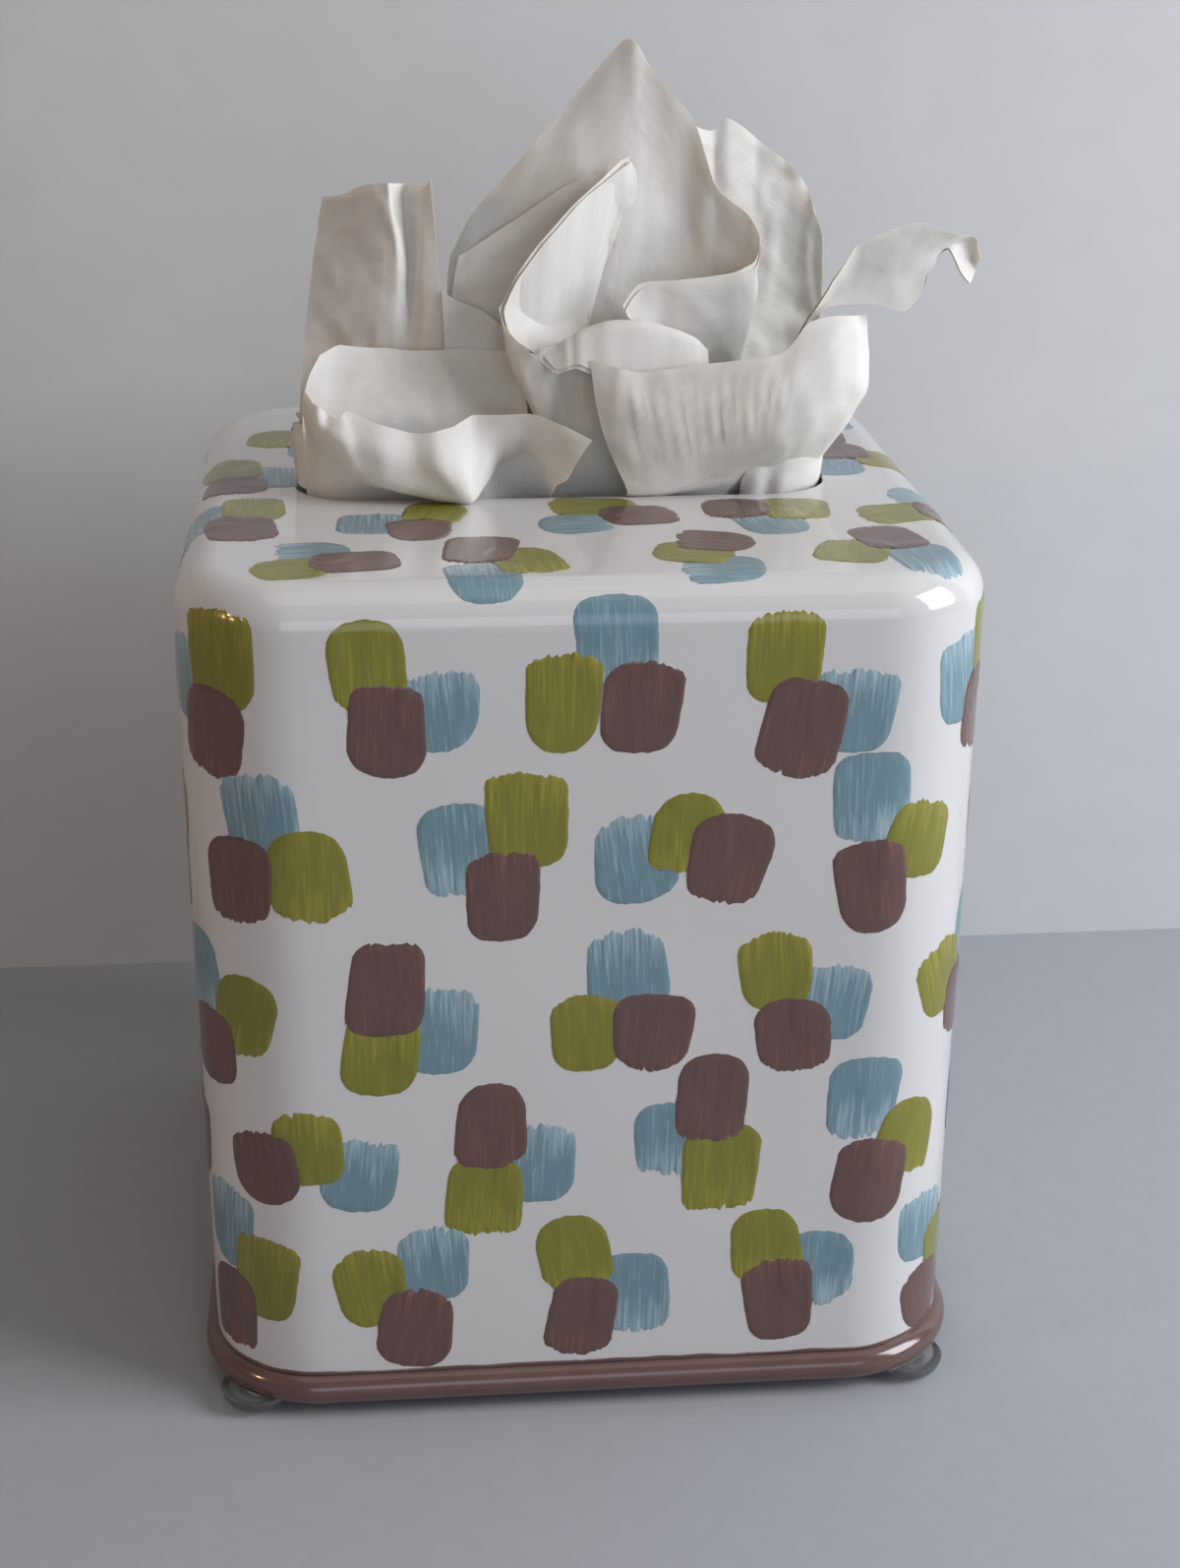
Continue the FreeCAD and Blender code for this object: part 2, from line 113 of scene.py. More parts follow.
def add(tree, kind, inputs=None, links=None, **settings):
    """Adds a node with its settings, the values of its inputs and the links into them."""
    node = tree.nodes.new(kind)
    for name, value in settings.items():
        setattr(node, name, value)
    for key, value in (inputs or {}).items():
        node.inputs[key].default_value = value
    for key, source in (links or {}).items():
        tree.links.new(source, node.inputs[key])
    return node


def ramp(tree, source, stops):
    """A colour ramp over a value: stops are (position, linear colour)."""
    node = add(tree, "ShaderNodeValToRGB", links={"Fac": source})
    elements = node.color_ramp.elements
    elements[0].position, elements[0].color = stops[0]
    elements[1].position, elements[1].color = stops[-1]
    for position, colour in stops[1:-1]:
        elements.new(position).color = colour
    return node.outputs["Color"]


def grey(level):
    """A linear grey for a ramp that carries a plain value."""
    return (level, level, level, 1.0)


def new_material(name):
    """An empty node material and its tree."""
    material = bpy.data.materials.new(name)
    material.use_nodes = True
    material.node_tree.nodes.clear()
    return material, material.node_tree


def mesh_object(name, points, faces, material, smooth=True):
    """A new object in metres from points in millimetres."""
    mesh = bpy.data.meshes.new(name)
    mesh.from_pydata([tuple(c * MM for c in p) for p in points], [], faces)
    mesh.polygons.foreach_set("use_smooth", [smooth] * len(mesh.polygons))
    mesh.materials.append(material)
    mesh.update()
    piece = bpy.data.objects.new(name, mesh)
    bpy.context.scene.collection.objects.link(piece)
    return piece


def turn_outwards(piece):
    """Merges a mesh's doubled points and recalculates its faces' directions."""
    work = bmesh.new()
    work.from_mesh(piece.data)
    bmesh.ops.remove_doubles(work, verts=work.verts, dist=DRAWN_MERGE * MM)
    bmesh.ops.recalc_face_normals(work, faces=work.faces)
    work.to_mesh(piece.data)
    work.free()


def made_plain(piece, modifier):
    """Gives a piece its modifier's result as its plain mesh, and takes the modifier off."""
    evaluated = piece.evaluated_get(bpy.context.evaluated_depsgraph_get())
    mesh = bpy.data.meshes.new_from_object(evaluated)
    piece.modifiers.remove(modifier)
    piece.data = mesh
    mesh.name = piece.name
    return mesh


def smooth_copy(name, node, material, sharp_deg=35):
    """A merged, smooth-shaded copy of a CAD node, which it then replaces."""
    work = bmesh.new()
    work.from_mesh(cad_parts[node].data)
    bmesh.ops.remove_doubles(work, verts=work.verts, dist=CAD_MERGE * MM)
    bmesh.ops.dissolve_degenerate(work, edges=work.edges, dist=CAD_MERGE * MM)
    bmesh.ops.recalc_face_normals(work, faces=work.faces)
    mesh = bpy.data.meshes.new(name)
    work.to_mesh(mesh)
    work.free()
    mesh.materials.clear()
    mesh.materials.append(material)
    mesh.polygons.foreach_set("material_index", [0] * len(mesh.polygons))
    mesh.polygons.foreach_set("use_smooth", [True] * len(mesh.polygons))
    mesh.set_sharp_from_angle(angle=math.radians(sharp_deg))
    piece = bpy.data.objects.new(name, mesh)
    bpy.context.scene.collection.objects.link(piece)
    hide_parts(node)
    return piece


def ease(x):
    """A smooth step from 0 to 1."""
    x = min(max(x, 0.0), 1.0)
    return x * x * (3 - 2 * x)


def darker(colour, share):
    """The linear values of a hex colour, times a share."""
    return (*(c * share for c in linear(colour)[:3]), 1.0)


def surfaced(material, shader):
    """Links a finished shader to the material's output and returns the material."""
    tree = material.node_tree
    out = add(tree, "ShaderNodeOutputMaterial")
    tree.links.new(shader, out.inputs["Surface"])
    return material


def white_enamel(colour):
    """White vitreous-look enamel, sprayed and baked: a deep wet gloss, faint orange peel, rare pits."""
    peel, wave, cloud_size, pit_pitch = 2.6 * MM, 34 * MM, 45 * MM, 26 * MM
    material, tree = new_material("white_enamel_baked")
    place = add(tree, "ShaderNodeTexCoord").outputs["Object"]
    cloud = add(tree, "ShaderNodeTexNoise", {"Scale": 1 / cloud_size, "Detail": 2.0}, {"Vector": place})
    pits = add(tree, "ShaderNodeTexVoronoi", {"Scale": 1 / pit_pitch}, {"Vector": place})
    tint = ramp(tree, cloud.outputs["Fac"], [(0.3, darker(colour, 0.955)), (0.7, linear(colour))])
    pit = ramp(tree, pits.outputs["Distance"],
               [(0.0, grey(0.25)), (0.008, grey(0.35)), (0.014, grey(1.0))])
    shade = add(tree, "ShaderNodeMix", {"Factor": 1.0}, {"A": tint, "B": pit},
                data_type="RGBA", blend_type="MULTIPLY")
    slow = add(tree, "ShaderNodeTexNoise", {"Scale": 1 / wave, "Detail": 1.0}, {"Vector": place})
    waves = add(tree, "ShaderNodeBump", {"Strength": 0.35, "Distance": 0.35 * MM},
                {"Height": slow.outputs["Fac"]})
    fine = add(tree, "ShaderNodeTexNoise", {"Scale": 1 / peel, "Detail": 1.0}, {"Vector": place})
    bump = add(tree, "ShaderNodeBump", {"Strength": 0.05, "Distance": 0.1 * MM},
               {"Height": fine.outputs["Fac"], "Normal": waves.outputs["Normal"]})
    shader = add(tree, "ShaderNodeBsdfPrincipled",
                 {"Roughness": 0.11, "IOR": 1.52, "Coat Weight": 0.35, "Coat Roughness": 0.04},
                 {"Base Color": shade.outputs["Result"], "Normal": bump.outputs["Normal"]})
    return surfaced(material, shader.outputs["BSDF"])


def brushed_enamel(name, colour, thin_colour, streaks):
    """Brushed-on craft enamel: thick and glossy, with bristle lines where the coat is thin."""
    bristle_size, band_size = (0.6, 11), (2.6, 16)
    material, tree = new_material(name)
    stroke = add(tree, "ShaderNodeUVMap", uv_map="stroke").outputs["UV"]
    film = add(tree, "ShaderNodeAttribute", attribute_name="film")
    parts = add(tree, "ShaderNodeSeparateColor", links={"Color": film.outputs["Color"]})
    lanes = add(tree, "ShaderNodeMapping", {"Scale": (1 / bristle_size[0], 1 / bristle_size[1], 1.0)},
                {"Vector": stroke})
    bristle = add(tree, "ShaderNodeTexNoise", {"Scale": 1.0, "Detail": 3.0, "Roughness": 0.6},
                  {"Vector": lanes.outputs["Vector"]})
    broad = add(tree, "ShaderNodeMapping", {"Scale": (1 / band_size[0], 1 / band_size[1], 1.0)},
                {"Vector": stroke})
    bands = add(tree, "ShaderNodeTexNoise", {"Scale": 1.0, "Detail": 1.0},
                {"Vector": broad.outputs["Vector"]})
    worn = add(tree, "ShaderNodeMath", {1: streaks}, {0: parts.outputs["Red"]}, operation="MULTIPLY")
    both = add(tree, "ShaderNodeMath", links={0: bristle.outputs["Fac"], 1: worn.outputs["Value"]},
               operation="ADD")
    gate = add(tree, "ShaderNodeMapRange", {"From Min": 0.62, "From Max": 0.98},
               {"Value": both.outputs["Value"]})
    shade = ramp(tree, bands.outputs["Fac"], [(0.3, darker(colour, 0.9)), (0.7, linear(colour))])
    mix = add(tree, "ShaderNodeMix", {"B": linear(thin_colour)},
              {"Factor": gate.outputs["Result"], "A": shade}, data_type="RGBA")
    ridge = add(tree, "ShaderNodeBump", {"Strength": 0.3, "Distance": 0.08 * MM},
                {"Height": bristle.outputs["Fac"]})
    shader = add(tree, "ShaderNodeBsdfPrincipled",
                 {"Roughness": 0.2, "IOR": 1.5, "Coat Weight": 0.25, "Coat Roughness": 0.08},
                 {"Base Color": mix.outputs["Result"], "Normal": ridge.outputs["Normal"]})
    return surfaced(material, shader.outputs["BSDF"])


def rim_enamel(colour):
    """The same craft enamel on the rim, flooded on thick: smoother, with long brush lines round it."""
    line_length, line_width, cloud_size = 60 * MM, 0.9 * MM, 7 * MM
    material, tree = new_material("brown_enamel_flooded")
    place = add(tree, "ShaderNodeTexCoord").outputs["Object"]
    lines = add(tree, "ShaderNodeMapping",
                {"Scale": (1 / line_length, 1 / line_length, 1 / line_width)}, {"Vector": place})
    drag = add(tree, "ShaderNodeTexNoise", {"Scale": 1.0, "Detail": 2.0},
               {"Vector": lines.outputs["Vector"]})
    cloud = add(tree, "ShaderNodeTexNoise", {"Scale": 1 / cloud_size, "Detail": 2.0}, {"Vector": place})
    shade = ramp(tree, cloud.outputs["Fac"], [(0.3, darker(colour, 0.86)), (0.72, linear(colour))])
    height = add(tree, "ShaderNodeMath", links={0: drag.outputs["Fac"], 1: cloud.outputs["Fac"]},
                 operation="ADD")
    bump = add(tree, "ShaderNodeBump", {"Strength": 0.22, "Distance": 0.12 * MM},
               {"Height": height.outputs["Value"]})
    shader = add(tree, "ShaderNodeBsdfPrincipled",
                 {"Roughness": 0.17, "IOR": 1.5, "Coat Weight": 0.4, "Coat Roughness": 0.06},
                 {"Base Color": shade, "Normal": bump.outputs["Normal"]})
    return surfaced(material, shader.outputs["BSDF"])


def clear_vinyl():
    """Clear soft PVC of a moulded bumper: it lets light through, smooth, with a little dust haze."""
    dust_size = 1.8 * MM
    material, tree = new_material("clear_vinyl_moulded")
    place = add(tree, "ShaderNodeTexCoord").outputs["Object"]
    dust = add(tree, "ShaderNodeTexNoise", {"Scale": 1 / dust_size, "Detail": 3.0}, {"Vector": place})
    rough = add(tree, "ShaderNodeMapRange", {"To Min": 0.06, "To Max": 0.28},
                {"Value": dust.outputs["Fac"]})
    shader = add(tree, "ShaderNodeBsdfPrincipled",
                 {"Base Color": linear("#E9EBEA"), "IOR": 1.53, "Transmission Weight": 0.92},
                 {"Roughness": rough.outputs["Result"]})
    return surfaced(material, shader.outputs["BSDF"])


def adhesive_film():
    """Acrylic adhesive under each bumper: milky, nearly clear, with trapped air as pale flecks."""
    air_pitch = 0.9 * MM
    material, tree = new_material("acrylic_adhesive_film")
    place = add(tree, "ShaderNodeTexCoord").outputs["Object"]
    air = add(tree, "ShaderNodeTexVoronoi", {"Scale": 1 / air_pitch}, {"Vector": place})
    tone = ramp(tree, air.outputs["Distance"], [(0.1, linear("#F2F2F0")), (0.5, linear("#CFCFCB"))])
    shader = add(tree, "ShaderNodeBsdfPrincipled",
                 {"Roughness": 0.35, "IOR": 1.47, "Transmission Weight": 0.5}, {"Base Color": tone})
    return surfaced(material, shader.outputs["BSDF"])


def drawn_wire():
    """Drawn steel wire: bright, with die lines along it and a few dull spots."""
    line_size = 0.5 * MM
    material, tree = new_material("drawn_steel_wire")
    place = add(tree, "ShaderNodeTexCoord").outputs["Object"]
    lines = add(tree, "ShaderNodeTexNoise", {"Scale": 1 / line_size, "Detail": 2.0}, {"Vector": place})
    tone = ramp(tree, lines.outputs["Fac"], [(0.3, linear("#8E9194")), (0.7, linear("#B4B7BA"))])
    rough = add(tree, "ShaderNodeMapRange", {"To Min": 0.25, "To Max": 0.45},
                {"Value": lines.outputs["Fac"]})
    shader = add(tree, "ShaderNodeBsdfPrincipled", {"Metallic": 1.0},
                 {"Base Color": tone, "Roughness": rough.outputs["Result"]})
    return surfaced(material, shader.outputs["BSDF"])


def coated_board(colour, kraft):
    """Clay-coated carton board: a satin printed face with faint fibre mottling, grey-brown inside."""
    fibre_size, cloud_size = 1.3 * MM, 30 * MM
    material, tree = new_material("coated_carton_board")
    place = add(tree, "ShaderNodeTexCoord").outputs["Object"]
    fibre = add(tree, "ShaderNodeTexNoise", {"Scale": 1 / fibre_size, "Detail": 4.0}, {"Vector": place})
    cloud = add(tree, "ShaderNodeTexNoise", {"Scale": 1 / cloud_size, "Detail": 1.0}, {"Vector": place})
    face = ramp(tree, cloud.outputs["Fac"], [(0.35, darker(colour, 0.93)), (0.65, linear(colour))])
    raw = ramp(tree, fibre.outputs["Fac"], [(0.3, linear("#9C9486")), (0.7, linear(kraft))])
    inside = add(tree, "ShaderNodeAttribute", attribute_name="inside")
    mix = add(tree, "ShaderNodeMix", links={"Factor": inside.outputs["Fac"], "A": face, "B": raw},
              data_type="RGBA")
    bump = add(tree, "ShaderNodeBump", {"Strength": 0.15, "Distance": 0.05 * MM},
               {"Height": fibre.outputs["Fac"]})
    shader = add(tree, "ShaderNodeBsdfPrincipled", {"Roughness": 0.5, "IOR": 1.5},
                 {"Base Color": mix.outputs["Result"], "Normal": bump.outputs["Normal"]})
    return surfaced(material, shader.outputs["BSDF"])


def tissue_paper(colour, shade_colour, glow_colour):
    """Two-ply creped facial tissue: matt and soft, light glows through it, fine crepe lines across it.

    The sheet's own map is in millimetres. Real crepe lines are about 0.3 mm apart, too fine to show,
    so they are drawn 0.8 mm apart.
    """
    crepe_length, crepe_pitch, fibre_size, cloud_size = 3, 0.8, 1.6, 9
    material, tree = new_material("creped_tissue_paper")
    sheet = add(tree, "ShaderNodeUVMap", uv_map="sheet").outputs["UV"]
    lanes = add(tree, "ShaderNodeMapping", {"Scale": (1 / crepe_length, 1 / crepe_pitch, 1.0)},
                {"Vector": sheet})
    crepe = add(tree, "ShaderNodeTexNoise", {"Scale": 1.0, "Detail": 2.0},
                {"Vector": lanes.outputs["Vector"]})
    fibres = add(tree, "ShaderNodeTexNoise", {"Scale": 1 / fibre_size, "Detail": 3.0, "Roughness": 0.6},
                 {"Vector": sheet})
    cloud = add(tree, "ShaderNodeTexNoise", {"Scale": 1 / cloud_size, "Detail": 2.0}, {"Vector": sheet})
    patchy = add(tree, "ShaderNodeMath", {1: 0.5}, {0: fibres.outputs["Fac"], 2: cloud.outputs["Fac"]},
                 operation="MULTIPLY_ADD")
    tone = ramp(tree, patchy.outputs["Value"], [(0.62, linear(shade_colour)), (0.86, linear(colour))])
    height = add(tree, "ShaderNodeMath", {1: 0.4}, {0: crepe.outputs["Fac"], 2: fibres.outputs["Fac"]},
                 operation="MULTIPLY_ADD")
    bump = add(tree, "ShaderNodeBump", {"Strength": 0.36, "Distance": 0.16 * MM},
               {"Height": height.outputs["Value"]})
    body = add(tree, "ShaderNodeBsdfPrincipled",
               {"Roughness": 0.92, "IOR": 1.45, "Specular IOR Level": 0.25, "Sheen Weight": 0.08},
               {"Base Color": tone, "Normal": bump.outputs["Normal"]})
    glow = add(tree, "ShaderNodeBsdfTranslucent", {"Color": linear(glow_colour)},
               {"Normal": bump.outputs["Normal"]})
    paper = add(tree, "ShaderNodeMixShader", {"Fac": 0.3},
                {1: body.outputs["BSDF"], 2: glow.outputs["BSDF"]})
    return surfaced(material, paper.outputs["Shader"])


def plain_paint(name, colour, fine):
    """Flat wall paint or a laminate top for the stage: one pale tone with a faint texture.

    Its back is open to the camera, so that the wall doesn't hide the part from behind.
    """
    material, tree = new_material(name)
    place = add(tree, "ShaderNodeTexCoord").outputs["Object"]
    grain = add(tree, "ShaderNodeTexNoise", {"Scale": 1 / (fine * MM), "Detail": 2.0},
                {"Vector": place})
    tone = ramp(tree, grain.outputs["Fac"], [(0.3, darker(colour, 0.97)), (0.7, linear(colour))])
    paint = add(tree, "ShaderNodeBsdfPrincipled", {"Roughness": 0.75}, {"Base Color": tone})
    back = add(tree, "ShaderNodeNewGeometry").outputs["Backfacing"]
    seen = add(tree, "ShaderNodeLightPath").outputs["Is Camera Ray"]
    from_behind = add(tree, "ShaderNodeMath", links={0: back, 1: seen}, operation="MULTIPLY")
    opening = add(tree, "ShaderNodeBsdfTransparent").outputs["BSDF"]
    surface = add(tree, "ShaderNodeMixShader",
                  links={0: from_behind.outputs["Value"], 1: paint.outputs["BSDF"], 2: opening})
    return surfaced(material, surface.outputs["Shader"])


# Sizes of the drawn shell, in millimetres: corners, top edge, wall and the slot's round edge
CORNER = 20.0
FILLET = 7.0
WALL = 1.2
SLOT_EDGE = 0.45
# Steps round a corner, along a side, round the top edge outside and inside, and round the slot's edge
CORNER_STEPS, SIDE_STEPS = 16, 26
FILLET_STEPS, BEND_STEPS, SLOT_STEPS = 12, 8, 5
# Shares of the way for the rings of the wall, the top, the top's underside and the wall's inside
WALL_RINGS = (0, 0.04, 0.2, 0.4, 0.6, 0.8, 0.96, 0.995)
TOP_RINGS = (0.02, 0.15, 0.4, 0.7, 0.95, 1.0)
UNDER_RINGS = (0.05, 0.5, 0.98)
INSIDE_RINGS = (0.97, 0.5, 0.02, 0)
FLAT_HALF = HALF - FILLET
FLAT_CORNER = CORNER - FILLET
FILLET_ARC = FILLET * math.pi / 2
STRAIGHT = 2 * (HALF - CORNER)
CORNER_ARC = CORNER * math.pi / 2
PERIMETER = 4 * (STRAIGHT + CORNER_ARC)
FILLET_BOTTOM = TOP - FILLET

# The rolled rim: a tube round the wall's lower edge
RIM_SHEET_HALF = WALL / 2
RIM_RADIUS = RIM_OUT - (HALF - RIM_SHEET_HALF)
RIM_MIDDLE = RIM_BOTTOM + RIM_RADIUS
RIM_PLACES, RIM_STEPS = 640, 30
# The rim's enamel in millimetres: its film, its swell, and how far it climbs the wall and wanders there
RIM_FILM, RIM_SWELL = 0.14, 0.05
RIM_CLIMB, RIM_WANDER, RIM_DRIP = 0.75, 0.45, 0.3
# How often the enamel's edge wanders, wobbles, drips and swells, per millimetre round the wall
WANDER_RATE, WOBBLE_RATE, DRIP_RATE, SWELL_RATE = 0.055, 0.21, 0.6, 0.11
# How strong a wave has to be for a drip, and the share of the roll that is on its outside
DRIP_FROM, RIM_OUTSIDE = 0.25, 0.6
SHELL_SHARP, RIM_SHARP = 50, 60


def outline(half_x, half_y, corner):
    """A rounded rectangle's points, the same number whatever its size, from the front's left end."""
    points = []
    middles = ((half_x - corner, -half_y + corner, -90), (half_x - corner, half_y - corner, 0),
               (-half_x + corner, half_y - corner, 90), (-half_x + corner, -half_y + corner, 180))
    for n, (mx, my, start) in enumerate(middles):
        px, py, pstart = middles[n - 1]
        last = math.radians(pstart + 90)
        first = math.radians(start)
        a = (px + corner * math.cos(last), py + corner * math.sin(last))
        b = (mx + corner * math.cos(first), my + corner * math.sin(first))
        for step in range(SIDE_STEPS):
            t = step / SIDE_STEPS
            points.append((a[0] + (b[0] - a[0]) * t, a[1] + (b[1] - a[1]) * t))
        for step in range(CORNER_STEPS):
            angle = math.radians(start + 90 * step / CORNER_STEPS)
            points.append((mx + corner * math.cos(angle), my + corner * math.sin(angle)))
    return points


def loft(rings, closed=False):
    """Points and quads through rings of equal length; closed joins the last ring to the first."""
    points = [p for ring in rings for p in ring]
    count, faces = len(rings[0]), []
    for n in range(len(rings) if closed else len(rings) - 1):
        low, high = n * count, ((n + 1) % len(rings)) * count
        for k in range(count):
            j = (k + 1) % count
            faces.append((low + k, low + j, high + j, high + k))
    return points, faces


def level_ring(half_x, half_y, corner, height):
    """A rounded rectangle lying level."""
    return [(x, y, height) for x, y in outline(half_x, half_y, corner)]


def between(first, second, shares, height):
    """Level rings at shares of the way from one outline to another."""
    return [[(a[0] + (b[0] - a[0]) * t, a[1] + (b[1] - a[1]) * t, height)
             for a, b in zip(first, second)] for t in shares]


def build_shell(material, slot_length, slot_width, slot_corner):
    """The shell as one closed wall: outside, top, slot edge, underside, inside and lower edge."""
    bottom = RIM_MIDDLE + RIM_RADIUS / 3
    rise = FILLET_BOTTOM - bottom
    slot = (slot_length / 2, slot_width / 2, slot_corner)
    rings = [level_ring(HALF, HALF, CORNER, bottom + rise * t) for t in WALL_RINGS]
    for step in range(FILLET_STEPS + 1):
        turn = math.pi / 2 * step / FILLET_STEPS
        inset = FILLET * (1 - math.cos(turn))
        rings.append(level_ring(HALF - inset, HALF - inset, CORNER - inset,
                                FILLET_BOTTOM + FILLET * math.sin(turn)))
    flat = outline(FLAT_HALF, FLAT_HALF, FLAT_CORNER)
    rings += between(flat, outline(*(size + SLOT_EDGE for size in slot)), TOP_RINGS, TOP)
    for step in range(1, SLOT_STEPS + 1):
        turn = math.pi / 2 * step / SLOT_STEPS
        out = SLOT_EDGE * (1 - math.sin(turn))
        rings.append(level_ring(*(size + out for size in slot), TOP - SLOT_EDGE * (1 - math.cos(turn))))
    under = TOP - WALL
    rings.append(level_ring(*slot, under))
    rings += between(outline(*slot), flat, UNDER_RINGS, under)
    bend = FILLET - WALL
    for step in range(BEND_STEPS + 1):
        turn = math.pi / 2 * (1 - step / BEND_STEPS)
        inset = WALL + bend * (1 - math.cos(turn))
        rings.append(level_ring(HALF - inset, HALF - inset, CORNER - inset,
                                FILLET_BOTTOM + bend * math.sin(turn)))
    rings += [level_ring(HALF - WALL, HALF - WALL, CORNER - WALL, bottom + rise * t)
              for t in INSIDE_RINGS]
    piece = mesh_object("enamelled_shell", *loft(rings, closed=True), material)
    turn_outwards(piece)
    piece.data.set_sharp_from_angle(angle=math.radians(SHELL_SHARP))
    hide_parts("cover_shell")
    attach(piece, "cover")
    return piece


def around(s):
    """A place along the wall's outside, from the middle of the front towards +X: x, y, outward x, y."""
    s = (s + STRAIGHT / 2) % PERIMETER
    side, rest = divmod(s, STRAIGHT + CORNER_ARC)
    if rest < STRAIGHT:
        x, y, nx, ny = rest - STRAIGHT / 2, -HALF, 0.0, -1.0
    else:
        turn = (rest - STRAIGHT) / CORNER - math.pi / 2
        nx, ny = math.cos(turn), math.sin(turn)
        x, y = HALF - CORNER + CORNER * nx, -HALF + CORNER + CORNER * ny
    for _ in range(int(side)):
        x, y, nx, ny = -y, x, -ny, nx
    return x, y, nx, ny


def on_wall(s, h):
    """The shell's outside at a place along the wall and a height, over the fillet: point, normal."""
    x, y, nx, ny = around(s)
    if h <= FILLET_BOTTOM:
        return Vector((x, y, h)), Vector((nx, ny, 0))
    turn = min((h - FILLET_BOTTOM) / FILLET, math.pi / 2)
    inset = FILLET * (1 - math.cos(turn)) + max(h - FILLET_BOTTOM - FILLET_ARC, 0)
    point = Vector((x - nx * inset, y - ny * inset, FILLET_BOTTOM + FILLET * math.sin(turn)))
    return point, Vector((nx * math.cos(turn), ny * math.cos(turn), math.sin(turn)))


def on_top(x, y):
    """The shell's top at a place, wrapped over the fillet and down the wall past its edge."""
    side_x, side_y = (1 if x > 0 else -1), (1 if y > 0 else -1)
    middle = FLAT_HALF - FLAT_CORNER
    over_x, over_y = abs(x) - middle, abs(y) - middle
    if over_x > 0 and over_y > 0:
        reach = math.hypot(over_x, over_y)
        nx, ny = over_x / reach, over_y / reach
        beyond = reach - FLAT_CORNER
        edge = (middle + FLAT_CORNER * nx, middle + FLAT_CORNER * ny)
    elif over_x > over_y:
        nx, ny, beyond, edge = 1.0, 0.0, abs(x) - FLAT_HALF, (FLAT_HALF, abs(y))
    else:
        nx, ny, beyond, edge = 0.0, 1.0, abs(y) - FLAT_HALF, (abs(x), FLAT_HALF)
    if beyond <= 0:
        return Vector((x, y, TOP)), Vector((0, 0, 1))
    turn = min(beyond / FILLET, math.pi / 2)
    out = FILLET * math.sin(turn)
    point = Vector((side_x * (edge[0] + nx * out), side_y * (edge[1] + ny * out),
                    FILLET_BOTTOM + FILLET * math.cos(turn) - max(beyond - FILLET_ARC, 0)))
    normal = Vector((side_x * nx * math.sin(turn), side_y * ny * math.sin(turn), math.cos(turn)))
    return point, normal


def build_rim(material):
    """The rolled rim under thick brown enamel, which ends up the wall in an uneven brushed line."""
    film = RIM_FILM
    meets = math.sqrt(RIM_RADIUS ** 2 - RIM_SHEET_HALF ** 2)
    rings = []
    for n in range(RIM_PLACES):
        s = PERIMETER * n / RIM_PLACES
        x, y, nx, ny = around(s)
        wander = noise.noise((s * WANDER_RATE, 3.1, 0)) + 0.5 * noise.noise((s * WOBBLE_RATE, 7.7, 0))
        drip = max(0, noise.noise((s * DRIP_RATE, 1.9, 0)) - DRIP_FROM)
        climb = RIM_CLIMB + RIM_WANDER * wander + RIM_DRIP * drip
        swell = RIM_SWELL * noise.noise((s * SWELL_RATE, 12.5, 0))
        section = []
        start = math.atan2(meets, RIM_SHEET_HALF)
        for k in range(RIM_STEPS + 1):
            turn = start - (math.pi + 2 * start) * k / RIM_STEPS
            r = RIM_RADIUS + (min(swell, 0) if k < RIM_STEPS * RIM_OUTSIDE else 0)
            section.append((-RIM_SHEET_HALF + r * math.cos(turn), RIM_MIDDLE + r * math.sin(turn)))
        foot = RIM_MIDDLE + meets
        section += [(-WALL - film * 0.2, foot), (-WALL / 2, foot + climb * 0.5),
                    (-film, foot + climb), (film * 0.6, foot + climb),
                    (film * 1.1, foot + climb * 0.75), (film * 1.3, foot + climb * 0.3)]
        rings.append([(x + nx * out, y + ny * out, z) for out, z in section])
    piece = mesh_object("rolled_rim", *loft(rings, closed=True), material)
    turn_outwards(piece)
    piece.data.set_sharp_from_angle(angle=math.radians(RIM_SHARP))
    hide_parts("base_rim")
    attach(piece, "cover")
    return piece


# Brush dabs, in millimetres: a flat brush's width, the stroke's length and how round its ends are
BRUSH_WIDTH = (11.4, 13.0)
STROKE_LENGTH = (14.0, 17.5)
END_CROWN = (0.8, 2.6)
END_RADIUS, DRY_END_RADIUS = 2.6, 1.3
# How much a stroke widens along it, how much it leans, and how often its dry end is the upper one
DAB_TAPER, DAB_LEAN, DRY_END_UP = (-0.10, 0.12), (-0.08, 0.08), 0.6
# How far a side bows out and wavers, how far the clean end wavers, and how near it corners are round
SIDE_BOW, SIDE_WAVER, END_WAVER, CLEAN_END_NEAR = 0.35, 0.16, 0.25, 3
# The bristles' comb at the dry end, as marks per millimetre and their depth: bristles, tufts and hairs
BRISTLES, TUFTS, HAIRS = (1.5, 1.3), (0.3, 0.7), (3.1, 0.9)
DRY_END_REACH = 0.5
# A gap that a bristle leaves: its place across, its depth, shortest depth, half width and sway
GAP_SPREAD, GAP_DEPTH, GAP_SHORTEST, GAP_HALF, GAP_SWAY = 0.46, (0.8, 4.6), 0.6, (0.12, 0.26), 0.1
# How far a dab slips from its place and turns, in millimetres and degrees, and how far a cluster slips
DAB_SLIP, DAB_TURN, CLUSTER_SLIP = 0.8, 3.5, 3.0
# The paint's thickness, the ridge at its edge, its thinnest film and how far its underside sinks in
PAINT, PAINT_EDGE, PAINT_THINNEST, PAINT_SUNK = 0.1, 0.02, 0.012, 0.01
# Where the ridge stands inside the edge and how wide it is, and how far the paint takes to rise
RIDGE_IN, RIDGE_WIDE, PAINT_START, PAINT_RISE = 0.6, 0.4, 0.08, 0.5
